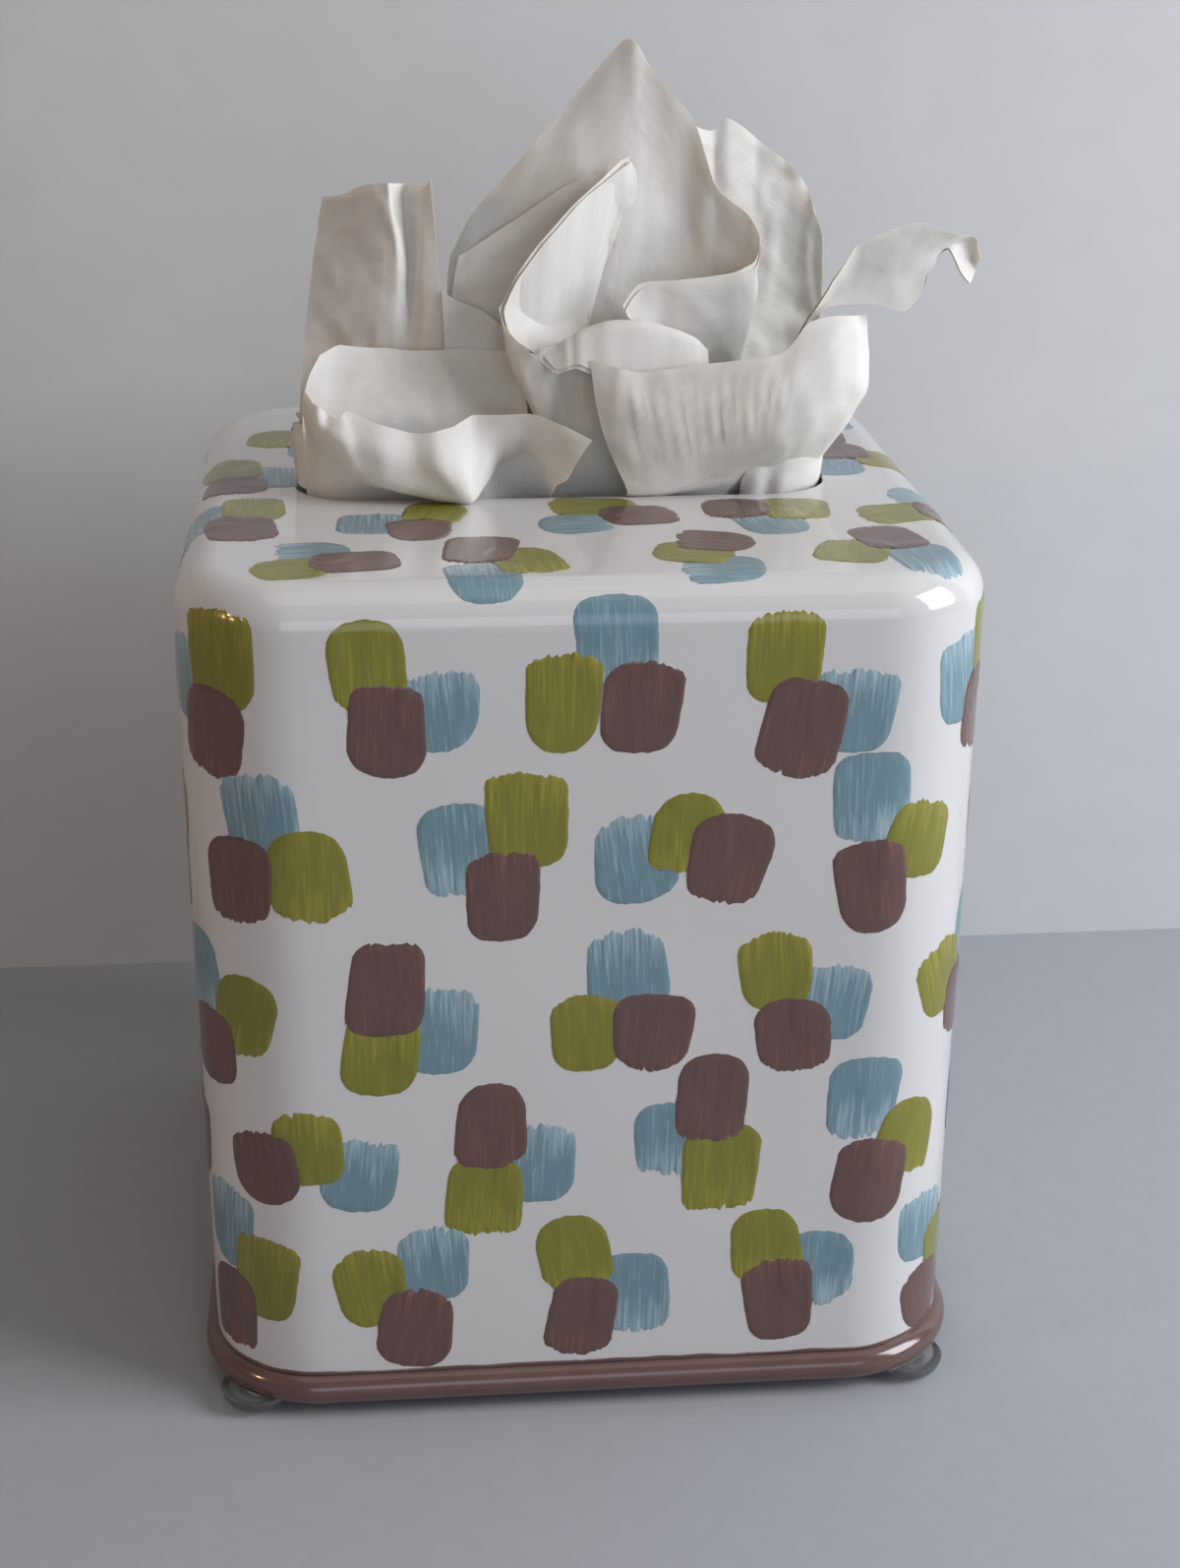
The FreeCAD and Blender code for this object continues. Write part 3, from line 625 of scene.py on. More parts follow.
# The bristle lines' height, and how often they change across and along the stroke
LINE_HEIGHT, LINE_ACROSS, LINE_ALONG = 0.03, 2.2, 0.12
# How far outside a dab the next one starts to climb it, and over how far it climbs
OVERLAP_START, OVERLAP_RISE = 0.95, 0.8
PAINT_SHARP = 50
# The steps of a dab's grid, across and along the stroke, and the room round the stroke
GRID_ACROSS, GRID_ALONG = 0.45, 1.2
ROOM_ACROSS, ROOM_ALONG = 4, 3
# How dry each colour's strokes are, and the most gaps that bristles leave in one
COLOURS = ("blue", "olive", "brown")
DRYNESS = {"blue": 0.7, "olive": 0.5, "brown": 0.3}
DRY_GAPS = {"blue": 5, "olive": 3, "brown": 2}
# How ragged a dry end is, how much more so in each colour, and the span of the strokes' seeds
RAGGED = (0.5, 1.0)
RAGGED_MORE = {"blue": 1.5, "olive": 1.0, "brown": 1.0}
SEEDS = 500
# Each colour's paint where it is thin, and how much its bristle lines show there
THIN_PAINT = {"blue": ("#A9BDC4", 0.36), "olive": ("#A0963A", 0.42), "brown": ("#915F50", 0.34)}

# Ways to set three dabs against each other: each colour's place across and up, and its turn in degrees
TRIOS = (
    {"blue": (-5.5, -1.0, 2), "olive": (4.5, 4.0, -3), "brown": (1.5, -8.5, 0)},
    {"blue": (-6.0, 3.5, 4), "olive": (5.5, -1.5, -12), "brown": (-2.0, -9.0, 8)},
    {"blue": (-5.0, -3.0, -2), "olive": (4.0, -8.0, 3), "brown": (3.0, 5.0, -2)},
    {"blue": (1.0, 7.0, 2), "olive": (-6.5, -3.5, 3), "brown": (6.0, -4.0, -2)},
    {"blue": (-8.5, -3.5, 2), "olive": (0.0, 1.0, -6), "brown": (8.0, -3.0, -7)},
    {"blue": (-4.5, 8.0, -3), "olive": (4.0, 0.0, -10), "brown": (-3.5, -8.5, 3)},
    {"blue": (5.5, -3.0, -3), "olive": (-5.0, 5.5, 4), "brown": (-3.0, -6.5, -5)},
)
ROWS, COLUMNS = 5, 15
ROW_FIRST, ROW_PITCH = 25.0, 28.2
# Where even and odd rows start, in pitches, how far a cluster on top turns, and how many are mirrored
ROW_STARTS, TOP_TURN, WALL_MIRRORED, TOP_MIRRORED = (0.08, 0.5), 8, 0.35, 0.5
TOP_PLACES = ((-45, -50), (-13, -52), (19, -49), (50, -51), (-59, -25), (-29, -26), (3, -25), (34, -26),
              (61, -22), (-57, 6), (57, 9), (-46, 30), (-12, 27), (19, 30), (50, 35), (-42, 53),
              (-9, 50), (24, 54))
TOP_CROWDING = 0.9


class Dab:
    """One stroke of a flat brush in the plane of its cluster: rounded, with one dry, ragged end."""

    def __init__(self, colour, place, draw, flat_turn=0.0):
        self.colour = colour
        self.x = place[0] + draw.uniform(-DAB_SLIP, DAB_SLIP)
        self.y = place[1] + draw.uniform(-DAB_SLIP, DAB_SLIP)
        turn = math.radians(place[2] + draw.gauss(0, DAB_TURN)) + flat_turn
        self.cos, self.sin = math.cos(turn), math.sin(turn)
        self.width = draw.uniform(*BRUSH_WIDTH)
        self.length = draw.uniform(*STROKE_LENGTH)
        self.taper = draw.uniform(*DAB_TAPER)
        self.lean = draw.uniform(*DAB_LEAN)
        self.crown = draw.uniform(*END_CROWN), draw.uniform(*END_CROWN)
        self.dry_end = 1 if draw.random() < DRY_END_UP else -1
        self.ragged = draw.uniform(*RAGGED) * RAGGED_MORE[colour]
        self.seed = draw.uniform(0, SEEDS)
        self.gaps = [(draw.uniform(-GAP_SPREAD, GAP_SPREAD) * self.width,
                      draw.uniform(*GAP_DEPTH) * DRYNESS[colour] + GAP_SHORTEST,
                      draw.uniform(*GAP_HALF)) for _ in range(draw.randint(1, DRY_GAPS[colour]))]

    def local(self, a, b):
        """A place in the cluster's plane, as across and along this stroke."""
        x, y = a - self.x, b - self.y
        return x * self.cos + y * self.sin, -x * self.sin + y * self.cos

    def plane(self, u, v):
        """Across and along this stroke, as a place in the cluster's plane."""
        return self.x + u * self.cos - v * self.sin, self.y + u * self.sin + v * self.cos

    def comb(self, u):
        """How far the bristles' marks cut into the dry end."""
        bristles = abs(noise.noise((u * BRISTLES[0], self.seed + 9, 0))) * BRISTLES[1]
        tufts = (noise.noise((u * TUFTS[0], self.seed + 4, 0)) + 0.6) * TUFTS[1]
        hairs = abs(noise.noise((u * HAIRS[0], self.seed + 2, 0))) * HAIRS[1]
        return bristles + tufts + hairs

    def inside(self, u, v):
        """How far a place is inside the stroke's outline, in millimetres."""
        along = 2 * v / self.length
        half = self.width / 2 * (1 + self.taper * along) + SIDE_BOW * (1 - along * along)
        half += SIDE_WAVER * noise.noise((v * 0.5, self.seed, 1.0 if u > 0 else 5.0))
        shifted = u - self.lean * v
        share = shifted / (self.width / 2)
        sides = half - abs(shifted)
        ends = []
        for end, crown in ((1, self.crown[0]), (-1, self.crown[1])):
            reach = self.length / 2 - crown * share * share
            if end == self.dry_end:
                reach += DRY_END_REACH - self.comb(u) * self.ragged
            else:
                reach += END_WAVER * noise.noise((u * 0.8, self.seed + 20 * end, 0))
            ends.append(reach - end * v)
        end = min(ends)
        clean_end = ends[0 if self.dry_end < 0 else 1]
        radius = END_RADIUS if clean_end < CLEAN_END_NEAR else DRY_END_RADIUS
        if sides < radius and end < radius:
            found = radius - math.hypot(radius - sides, radius - end)
        else:
            found = min(sides, end)
        for middle, depth, half_gap in self.gaps:
            from_end = self.length / 2 - self.dry_end * v
            if from_end < depth:
                open_half = half_gap * (1 - max(from_end, 0) / depth)
                found = min(found, abs(u - middle - GAP_SWAY * math.sin(v)) - open_half)
        return found

    def thickness(self, u, v, depth):
        """The paint's thickness at a place that is depth inside the outline."""
        ridge = PAINT_EDGE * math.exp(-((depth - RIDGE_IN) / RIDGE_WIDE) ** 2)
        line = LINE_HEIGHT * noise.noise((u * LINE_ACROSS, v * LINE_ALONG, self.seed))
        return max((PAINT + line) * ease((depth + PAINT_START) / PAINT_RISE) + ridge, PAINT_THINNEST)

    def thin(self, v):
        """How dry the stroke is at a place, from 0 to 1: most at its ragged end."""
        toward = 0.5 + self.dry_end * v / self.length
        return min(1.0, DRYNESS[self.colour] * (0.35 + 0.75 * ease((toward - 0.35) / 0.65)))


def clip_cell(corners, values):
    """The part of a grid cell where the values are above zero, as keys and blends of its corners."""
    found = []
    for n in range(4):
        a, b = n, (n + 1) % 4
        if values[a] > 0:
            found.append((corners[a],))
        if (values[a] > 0) != (values[b] > 0):
            first, second = (a, b) if corners[a] < corners[b] else (b, a)
            found.append((corners[first], corners[second]))
    return found


class PaintMesh:
    """Gathers the dabs of one colour into one closed mesh."""

    def __init__(self):
        self.points, self.faces, self.uvs, self.film = [], [], [], []

    def add_dab(self, dab, under, place):
        """under gives the height of the paint below a place, and place puts the plane on the shell."""
        nu = int((dab.width + ROOM_ACROSS) / GRID_ACROSS / 2)
        nv = int((dab.length + ROOM_ALONG) / GRID_ALONG / 2)
        grid = {(i, j): dab.inside(i * GRID_ACROSS, j * GRID_ALONG)
                for i in range(-nu, nu + 1) for j in range(-nv, nv + 1)}
        index, start = {}, len(self.points)
        tops, polygons = [], []

        def vertex(key):
            if key not in index:
                (i, j) = key[0]
                u, v = i * GRID_ACROSS, j * GRID_ALONG
                depth = grid[key[0]]
                if len(key) == 2:
                    (k, m) = key[1]
                    t = depth / (depth - grid[key[1]])
                    u += (k - i) * GRID_ACROSS * t
                    v += (m - j) * GRID_ALONG * t
                    depth = 0.0
                index[key] = len(tops)
                tops.append((u, v, depth))
            return index[key]

        for i in range(-nu, nu):
            for j in range(-nv, nv):
                corners = [(i, j), (i + 1, j), (i + 1, j + 1), (i, j + 1)]
                values = [grid[c] for c in corners]
                if max(values) <= 0:
                    continue
                polygon = [vertex(key) for key in clip_cell(corners, values)]
                if len(polygon) >= 3:
                    polygons.append(polygon)
        edges = dict.fromkeys(edge for polygon in polygons
                              for edge in zip(polygon, polygon[1:] + polygon[:1]))
        count = len(tops)
        for lift in (True, False):
            for u, v, depth in tops:
                a, b = dab.plane(u, v)
                point, normal = place(a, b)
                below = under(a, b)
                height = below + (dab.thickness(u, v, depth) if lift else -PAINT_SUNK)
                self.points.append(point + normal * height)
                self.uvs.append((u + dab.seed * 3, v + dab.seed * 7))
                self.film.append((dab.thin(v), dab.seed / SEEDS, min(depth / 3, 1.0), 1.0))
        for polygon in polygons:
            self.faces.append([start + k for k in polygon])
            self.faces.append([start + count + k for k in reversed(polygon)])
        for a, b in edges:
            if (b, a) not in edges:
                self.faces.append([start + b, start + a, start + count + a, start + count + b])

    def make(self, name, material):
        """The mesh object, with its stroke coordinates and film values."""
        piece = mesh_object(name, self.points, self.faces, material)
        layer = piece.data.uv_layers.new(name="stroke")
        corners = [c for loop in piece.data.loops for c in self.uvs[loop.vertex_index]]
        layer.data.foreach_set("uv", corners)
        film = piece.data.color_attributes.new("film", "FLOAT_COLOR", "POINT")
        film.data.foreach_set("color", [c for value in self.film for c in value])
        piece.data.set_sharp_from_angle(angle=math.radians(PAINT_SHARP))
        return piece


def paint_cluster(meshes, draw, trio, place, turn=0.0, mirrored=False):
    """Paints three dabs one over the other and adds them to the meshes of their colours."""
    painted = []
    for colour in COLOURS:
        x, y, degrees = trio[colour]
        if mirrored:
            x, degrees = -x, -degrees
        x, y = x * math.cos(turn) - y * math.sin(turn), x * math.sin(turn) + y * math.cos(turn)
        dab = Dab(colour, (x, y, degrees), draw, turn)
        earlier = list(painted)

        def under(a, b):
            height = 0.0
            for other in earlier:
                depth = other.inside(*other.local(a, b))
                height += (PAINT + PAINT_EDGE) * ease((depth + OVERLAP_START) / OVERLAP_RISE)
            return height

        meshes[colour].add_dab(dab, under, place)
        painted.append(dab)


def build_dabs(materials, seed):
    """All the brush dabs, one mesh for each colour, laid out in loose staggered rows."""
    draw = random.Random(seed)
    meshes = {colour: PaintMesh() for colour in COLOURS}
    pitch = PERIMETER / COLUMNS
    last = -1
    for row in range(ROWS):
        for column in range(COLUMNS):
            s = (column + ROW_STARTS[row % 2]) * pitch + draw.uniform(-CLUSTER_SLIP, CLUSTER_SLIP)
            h = ROW_FIRST + ROW_PITCH * row + draw.uniform(-CLUSTER_SLIP, CLUSTER_SLIP)
            kind = draw.choice([k for k in range(len(TRIOS)) if k != last])
            last = kind
            paint_cluster(meshes, draw, TRIOS[kind], lambda a, b, s=s, h=h: on_wall(s + a, h + b),
                          mirrored=draw.random() < WALL_MIRRORED)
    for x, y in TOP_PLACES:
        kind = draw.choice([k for k in range(len(TRIOS)) if k != last])
        last = kind
        turn = math.radians(draw.choice((0, 90, 180)) + draw.uniform(-TOP_TURN, TOP_TURN))
        paint_cluster(meshes, draw, TRIOS[kind],
                      lambda a, b, x=x, y=y: on_top(x + a * TOP_CROWDING, y + b * TOP_CROWDING),
                      turn=turn, mirrored=draw.random() < TOP_MIRRORED)
    for colour in COLOURS:
        piece = meshes[colour].make(f"brush_dabs_{colour}", materials[colour])
        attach(piece, "cover")


# A tissue laid flat, in metres. All that follows is in millimetres
PLY_GAP = 0.30
PLY_THICKNESS = 0.05
# How far the plies' raw edges wander, how far one stands out past the other, and how fast they wander
PLY_UNEVEN, PLY_STAGGER, PLY_EDGE_RATE = 0.7, 0.45, 0.11
# How softly a leaf bends across and up, where its call doesn't say
SOFT_ACROSS, SOFT_UP = 0.5, 0.85
STRIP_HOLLOW = 1.2
# The grid's steps, and the hidden pleats' depth, pitch, drift and unevenness
STEP_ACROSS, STEP_UP, STEP_HIDDEN = 0.8, 1.3, 3.2
PLEAT, PLEAT_PITCH, PLEAT_DRIFT, PLEAT_UNEVEN = 5.4, 7.0, 3.4, 0.55
# Over how far, across and up, the pleats' depth and their drift change
UNEVEN_SIZE, DRIFT_SIZE = (9, 50), (17, 45)
# Levels of the slot, of the pleats' full width and of their foot on the pile
SLOT_LEVEL = TOP - 1.0
NECK_LEVEL = SLOT_LEVEL - 2.5
PLEATS_START = SLOT_LEVEL - 2
PLEATS_FULL = 9.0
SPREAD_LEVEL = TOP - 9.0
LOW_LEVEL = PILE_TOP + 1.5
HIDDEN_RISE = 16
NECK_WIDTH = 0.97
# How far the crumpled paper stands off: soft dents, creases one way and the other, small and fine ones
DENT, CREASE, CROSS_CREASE, SMALL_CREASE, FINE_CREASE = 1.2, 0.5, 0.42, 0.2, 0.3
# The size of each, across and up, and how narrow the sharp ones are
DENT_SIZE, CREASE_SIZE, CROSS_SIZE = (17, 21), (12, 19), (15, 26)
SMALL_SIZE, FINE_SIZE = (7, 11), (3.2, 4.4)
CREASE_NARROW, CROSS_NARROW, SMALL_NARROW = 8, 10, 7
CREASE_BLUR = 1
SHARP_FOLD = 80
# The ripples pressed into the band
CRIMP, CRIMP_PITCH, CRIMP_SLANT = 0.5, 3.1, 0.25
# The columns and rows that they run from and to, each with the stretch that they fade over
CRIMP_FROM, CRIMP_TO, CRIMP_LOW, CRIMP_HIGH = (0.8, 0.8), (6.6, 0.9), (1.5, 0.5), (3.75, 0.4)
# How far apart the tissues and the plies lie on the paper's pattern, and the rows that it is fitted to
PATTERN_APART, PLY_APART, PATTERN_ROWS = 31, 5, 20

# Each leaf is a list of upright columns from left to right, and each column goes from the slot up to
# the leaf's edge as (pixel across, pixel down, depth in mm) of the photograph's frame. hidden gives
# the stretch of the slot's length that the leaf is gathered over below it, and the depth there.
REAR_LEFT = [
    [(300, 470, -1), (306, 400, 3), (310, 345, 7), (319, 270, 9), (328, 202, 9.5)],
    [(325, 470, -0.5), (331, 400, 2.4), (336, 345, 5), (344, 270, 6.4), (353, 197, 6.5)],
    [(347, 470, 0), (354, 400, 1.8), (358, 345, 3.2), (363, 270, 4), (370, 192.5, 3.8)],
    [(370, 470, 0), (377, 400, 1.2), (383, 345, 1.6), (388, 270, 1.8), (389, 188.5, 1.4)],
    [(383, 470, 0), (392, 400, 1.0), (401, 345, 1.4), (405, 270, 1.2), (395.5, 187.5, 0.8)],
    [(394, 470, 0.4), (404, 400, 1.6), (414, 345, 2.6), (417, 280, 3.8), (411, 192, 4.8)],
    [(410, 470, 0.4), (420, 400, 1.2), (431, 345, 1.6), (427, 285, 1.6), (430, 191, 1.6)],
    [(430, 470, 0.4), (446, 400, 0.8), (461, 352, 0.6), (448, 290, 1.0), (436, 182, 0.4)],
]
REAR_LAYER = [
    [(436, 470, -3.0), (446, 400, -1.9), (452, 360, -0.6), (451, 330, -0.1), (449, 297, 0.4)],
    [(480, 470, -3.0), (484, 400, -2.3), (486, 366, -1.0), (487, 341, -0.5), (487, 318, -0.1)],
    [(524, 470, -3.2), (526, 410, -2.6), (526, 382, -1.6), (524, 360, -1.1), (520, 339, -0.7)],
]
REAR_RIGHT = [
    [(690, 470, 1), (696, 400, 3), (700, 320, 6), (702, 232, 8), (699, 127, 9.6)],
    [(703, 470, 1), (711, 395, 3.4), (718, 312, 7), (723, 225, 9.8), (725, 134, 11.7)],
    [(715, 470, 1), (725, 390, 3.6), (733, 300, 7), (739, 215, 9.6), (741, 124, 11.4)],
    [(750, 470, 1), (758, 395, 4.2), (763, 310, 8), (767, 225, 11), (768, 142, 13)],
    [(785, 470, 0.9), (792, 400, 3.8), (798, 325, 7), (801, 245, 10), (800, 168, 12)],
    [(805, 470, 0.6), (812, 410, 2.8), (819, 345, 5.2), (823, 270, 8), (822, 195, 10.4)],
    [(815, 470, 0.3), (823, 415, 1.8), (829, 360, 3.6), (834, 300, 5.6), (835, 240, 7.6)],
]
LEFT_CURL = [
    [(343, 500, -9), (343, 488, -9.4), (343, 472, -9.6), (344, 457, -9.6), (345, 442, -9.4)],
    [(322, 500, -7.5), (321, 485, -8), (320, 468, -8.2), (320, 451, -8.2), (321, 436, -8)],
    [(306, 494, -4.5), (303, 478, -4.8), (301, 462, -5), (299, 447, -5), (299, 434, -4.8)],
    [(303, 484, -0.5), (299, 470, -0.6), (297, 456, -0.6), (296, 444, -0.6), (296, 432, -0.6)],
    [(308, 474, 3.5), (306, 462, 3.6), (304, 450, 3.6), (303, 440, 3.6), (304, 429, 3.4)],
]
PEAK = [
    [(478, 470, -1.8), (470, 400, -0.6), (462, 340, 3), (457, 300, 6.5), (459, 262, 9.5)],
    [(492, 470, -1.8), (486, 400, -0.6), (482, 330, 3.4), (480, 270, 7.4), (481, 219, 10)],
    [(520, 470, -1.8), (524, 390, -0.3), (528, 310, 3.8), (530, 235, 7.2), (531, 163, 9.2)],
    [(555, 470, -1.8), (565, 380, 0), (575, 285, 4.4), (582, 190, 6.8), (585, 100, 7.8)],
    [(590, 470, -1.8), (605, 370, 0), (620, 260, 4.6), (632, 150, 6.2), (638, 40, 5.6)],
    [(620, 470, -1.8), (635, 375, 0), (650, 275, 4.8), (658, 170, 6.7), (660, 68, 6)],
    [(655, 470, -1.9), (672, 385, -0.2), (688, 295, 4.4), (699, 210, 6.6), (706, 125, 6.2)],
    [(690, 470, -1.9), (705, 400, -0.7), (716, 330, 2.0), (724, 260, 4), (728, 192, 4.6)],
    [(715, 470, -2), (730, 405, -1), (744, 345, 0.6), (755, 285, 1.4), (762, 224, 1.9)],
    [(728, 470, -2.1), (742, 410, -1.5), (756, 350, -1.0), (767, 300, -0.8), (774, 245, -0.4)],
    [(730, 470, -2.5), (742, 415, -2.3), (755, 365, -2.5), (764, 320, -2.9), (769, 268, -3.0)],
    [(726, 470, -3), (735, 418, -3.4), (744, 370, -4.2), (750, 330, -4.9), (745, 281, -5.6)],
    [(715, 470, -3.4), (718, 420, -4.2), (718, 378, -5.4), (712, 335, -6.6), (696, 285, -7.8)],
    [(700, 472, -3.8), (695, 425, -4.8), (686, 385, -6.2), (672, 340, -7.6), (652, 291, -9)],
    [(690, 474, -4.0), (680, 430, -5.2), (667, 392, -6.8), (650, 352, -8.4), (635, 313, -9.8)],
    [(690, 476, -4.2), (683, 435, -5.6), (672, 398, -7.4), (660, 365, -9.0), (648, 330, -10.4)],
    [(700, 478, -4.4), (697, 438, -5.8), (692, 402, -7.6), (686, 372, -9.0), (682, 341, -10.2)],
    [(712, 478, -4.4), (713, 440, -5.6), (714, 410, -7.0), (715, 385, -8.0), (717, 355, -8.8)],
]
PEAK_TUCK = [
    [(476, 470, -2.0), (470, 420, -1.0), (462, 350, 0.8), (460, 300, 2.8), (466, 263, 4.6)],
    [(500, 470, -2.0), (494, 420, -1.0), (488, 350, 0.6), (485, 300, 2.6), (483, 253, 5.0)],
    [(525, 470, -2.2), (525, 415, -1.2), (527, 350, 0.4), (528, 290, 2.6), (527, 224, 5.4)],
    [(555, 470, -2.4), (562, 410, -1.2), (570, 340, 0.4), (574, 265, 2.8), (574, 192, 5.2)],
    [(585, 470, -2.6), (596, 410, -1.4), (608, 335, 0.4), (617, 255, 2.8), (617, 176, 4.6)],
    [(596, 470, -2.6), (608, 410, -1.4), (620, 335, 0.6), (629, 255, 2.9), (630, 168, 4.4)],
]
INNER = [
    [(590, 470, -5.4), (588, 400, -4), (600, 325, -1.4), (622, 240, 1), (641, 162, 1.5)],
    [(586, 470, -5.5), (580, 405, -4.6), (586, 335, -2.8), (602, 255, -1), (619, 179, -0.5)],
    [(580, 470, -5.6), (572, 410, -5.2), (572, 345, -4.2), (577, 275, -3.2), (587, 205, -3)],
    [(574, 470, -5.8), (563, 415, -6.0), (556, 358, -5.9), (554, 300, -5.4), (555, 243, -5)],
    [(568, 470, -6), (556, 420, -6.8), (543, 370, -7.2), (531, 325, -7.1), (526, 282, -6.8)],
    [(562, 470, -6.2), (550, 428, -7.6), (533, 388, -8.5), (517, 348, -8.7), (512, 313, -8.4)],
    [(560, 472, -6.4), (549, 435, -7.9), (535, 402, -9.1), (521, 368, -9.7), (516, 333, -9.6)],
    [(563, 474, -6.6), (554, 440, -8.3), (543, 410, -9.8), (531, 376, -10.8), (528, 349, -10.6)],
    [(570, 475, -6.8), (563, 440, -8.8), (551, 386, -10.9), (546, 353, -11.5), (547, 359, -12.2)],
    [(580, 476, -7), (574, 434, -9), (567, 366, -11.1), (566, 350, -12.2), (566, 378, -13.4)],
    [(592, 476, -7), (588, 425, -9.4), (586, 344, -11.5), (587, 343, -13.0), (588, 373, -14.0)],
    [(620, 477, -7.2), (618, 420, -10), (618, 333, -11.6), (619, 339, -13.6), (620, 384, -14.2)],
    [(650, 477, -7.2), (649, 420, -10), (650, 332, -11.8), (653, 339, -13.8), (655, 388, -14.4)],
    [(678, 477, -7.2), (680, 420, -9.8), (684, 339, -11.8), (687, 346, -13.6), (689, 388, -14.2)],
    [(702, 477, -7), (704, 420, -9.6), (708, 348, -11.2), (710, 354, -12.8), (711, 386, -13.6)],
    [(716, 477, -6.8), (717, 425, -9), (720, 358, -10.6), (721, 363, -11.6), (722, 384, -12.4)],
]
INNER_FACET = [
    [(641, 164, 1.3), (642, 166, 1.6), (643, 168, 1.9), (645, 171, 2.1), (646, 174, 2.2)],
    [(619, 181, -0.6), (624, 186, 0.2), (630, 190, 1.0), (636, 194, 1.6), (641, 199, 1.9)],
    [(587, 207, -3.1), (598, 213, -1.6), (609, 217, -0.3), (620, 221, 0.8), (630, 225, 1.4)],
    [(555, 245, -5.1), (569, 250, -3.0), (584, 252, -1.2), (600, 253, 0.1), (617, 255, 0.8)],
    [(526, 284, -6.9), (545, 287, -4.6), (567, 285, -2.4), (590, 281, -0.8), (609, 277, 0.1)],
    [(512, 315, -8.5), (533, 316, -6.0), (558, 309, -3.4), (582, 300, -1.6), (601, 291, -0.7)],
    [(516, 335, -9.7), (536, 333, -7.4), (558, 325, -4.6), (580, 316, -2.8), (597, 307, -1.9)],
    [(527, 353, -10.2), (542, 343, -8.2), (560, 335, -5.6), (579, 326, -3.8), (595, 318, -2.8)],
    [(545, 363, -10.9), (556, 351, -9.2), (568, 343, -6.8), (582, 335, -4.8), (595, 328, -3.8)],
    [(566, 360, -11.0), (571, 350, -9.4), (578, 346, -7.8), (586, 341, -6.0), (596, 335, -5.0)],
    [(587, 341, -11.6), (589, 342, -9.9), (592, 342, -8.2), (596, 341, -6.8), (602, 339, -6.0)],
]
POUCH = [
    [(312, 480, -6.5), (308, 440, -6.8), (308, 410, -7), (313, 383, -6.2), (323.5, 363, -4.8)],
    [(335, 480, -6.5), (333, 440, -6.2), (335, 405, -5.2), (338, 375, -3.8), (344, 354, -2.4)],
    [(375, 480, -6.2), (375, 440, -5.8), (376, 405, -4.5), (377, 378, -3), (378, 356, -1.6)],
    [(412, 480, -6), (412, 440, -5.5), (412, 405, -4.2), (411, 378, -2.6), (411, 357.5, -1.4)],
    [(450, 480, -5.8), (450, 440, -5.2), (450, 405, -4), (449, 378, -2.6), (448, 358.5, -1.4)],
    [(490, 480, -5.2), (489, 440, -4.6), (488, 405, -3.6), (487, 378, -2.4), (486, 358.5, -1.4)],
    [(522, 480, -4.8), (522, 440, -4.4), (523, 405, -3.8), (524, 378, -3), (524.5, 357.5, -2.2)],
    [(541, 480, -5.4), (540, 450, -5.2), (537, 425, -5), (535, 400, -4.6), (530, 376, -4)],
]
LIP = [
    [(322, 470, -8), (316, 452, -9.5), (311, 432, -10.7), (309, 415, -11.4), (312, 400, -11.4)],
    [(330, 478, -9), (326, 462, -11.4), (322, 445, -14), (321, 430, -15.8), (321, 415, -15.8)],
    [(345, 484, -9.5), (342, 477, -12.2), (339, 458, -15.9), (335, 441, -16.6), (332, 422, -15.6)],
    [(362, 488, -9.8), (360, 488, -12.5), (358, 475, -16.6), (351, 450, -17.4), (345, 430, -16.2)],
    [(375, 490, -9.9), (374, 493, -12.5), (372, 484, -16.8), (363, 452, -17.3), (353, 421, -15.4)],
    [(395, 491, -10), (394, 496, -12.6), (396, 493, -17.3), (390, 462, -18.4), (384, 433, -16.6)],
    [(425, 493, -10), (426, 499, -12.7), (430, 501, -16.8), (424, 470, -17.8), (418, 442.5, -16.4)],
    [(455, 494, -10), (458, 502, -12.9), (468, 507, -17.5), (446, 477, -19.6), (440, 444, -17.6)],
    [(470, 494, -10), (472, 502, -12.9), (478, 508, -17.3), (466, 472, -18.6), (461, 438, -16.6)],
    [(481, 494, -10), (481, 500, -12.6), (484, 504, -16.2), (485, 460, -15.8), (481, 423.5, -14.2)],
    [(503, 493, -8), (503, 484, -8.2), (506, 472, -9.4), (509, 453, -13.9), (512, 422.5, -15.5)],
    [(526, 492, -8), (527, 478, -8.2), (530, 462, -9.2), (536, 443, -14.6), (543, 422.5, -16.5)],
    [(546, 491, -9.4), (548, 483, -10.4), (553, 466, -12.4), (565, 450, -16.6), (574, 434.7, -18.2)],
    [(560, 491, -10.4), (565, 494, -13.6), (575, 489, -16), (588, 468, -17.3), (601, 449, -18.2)],
]
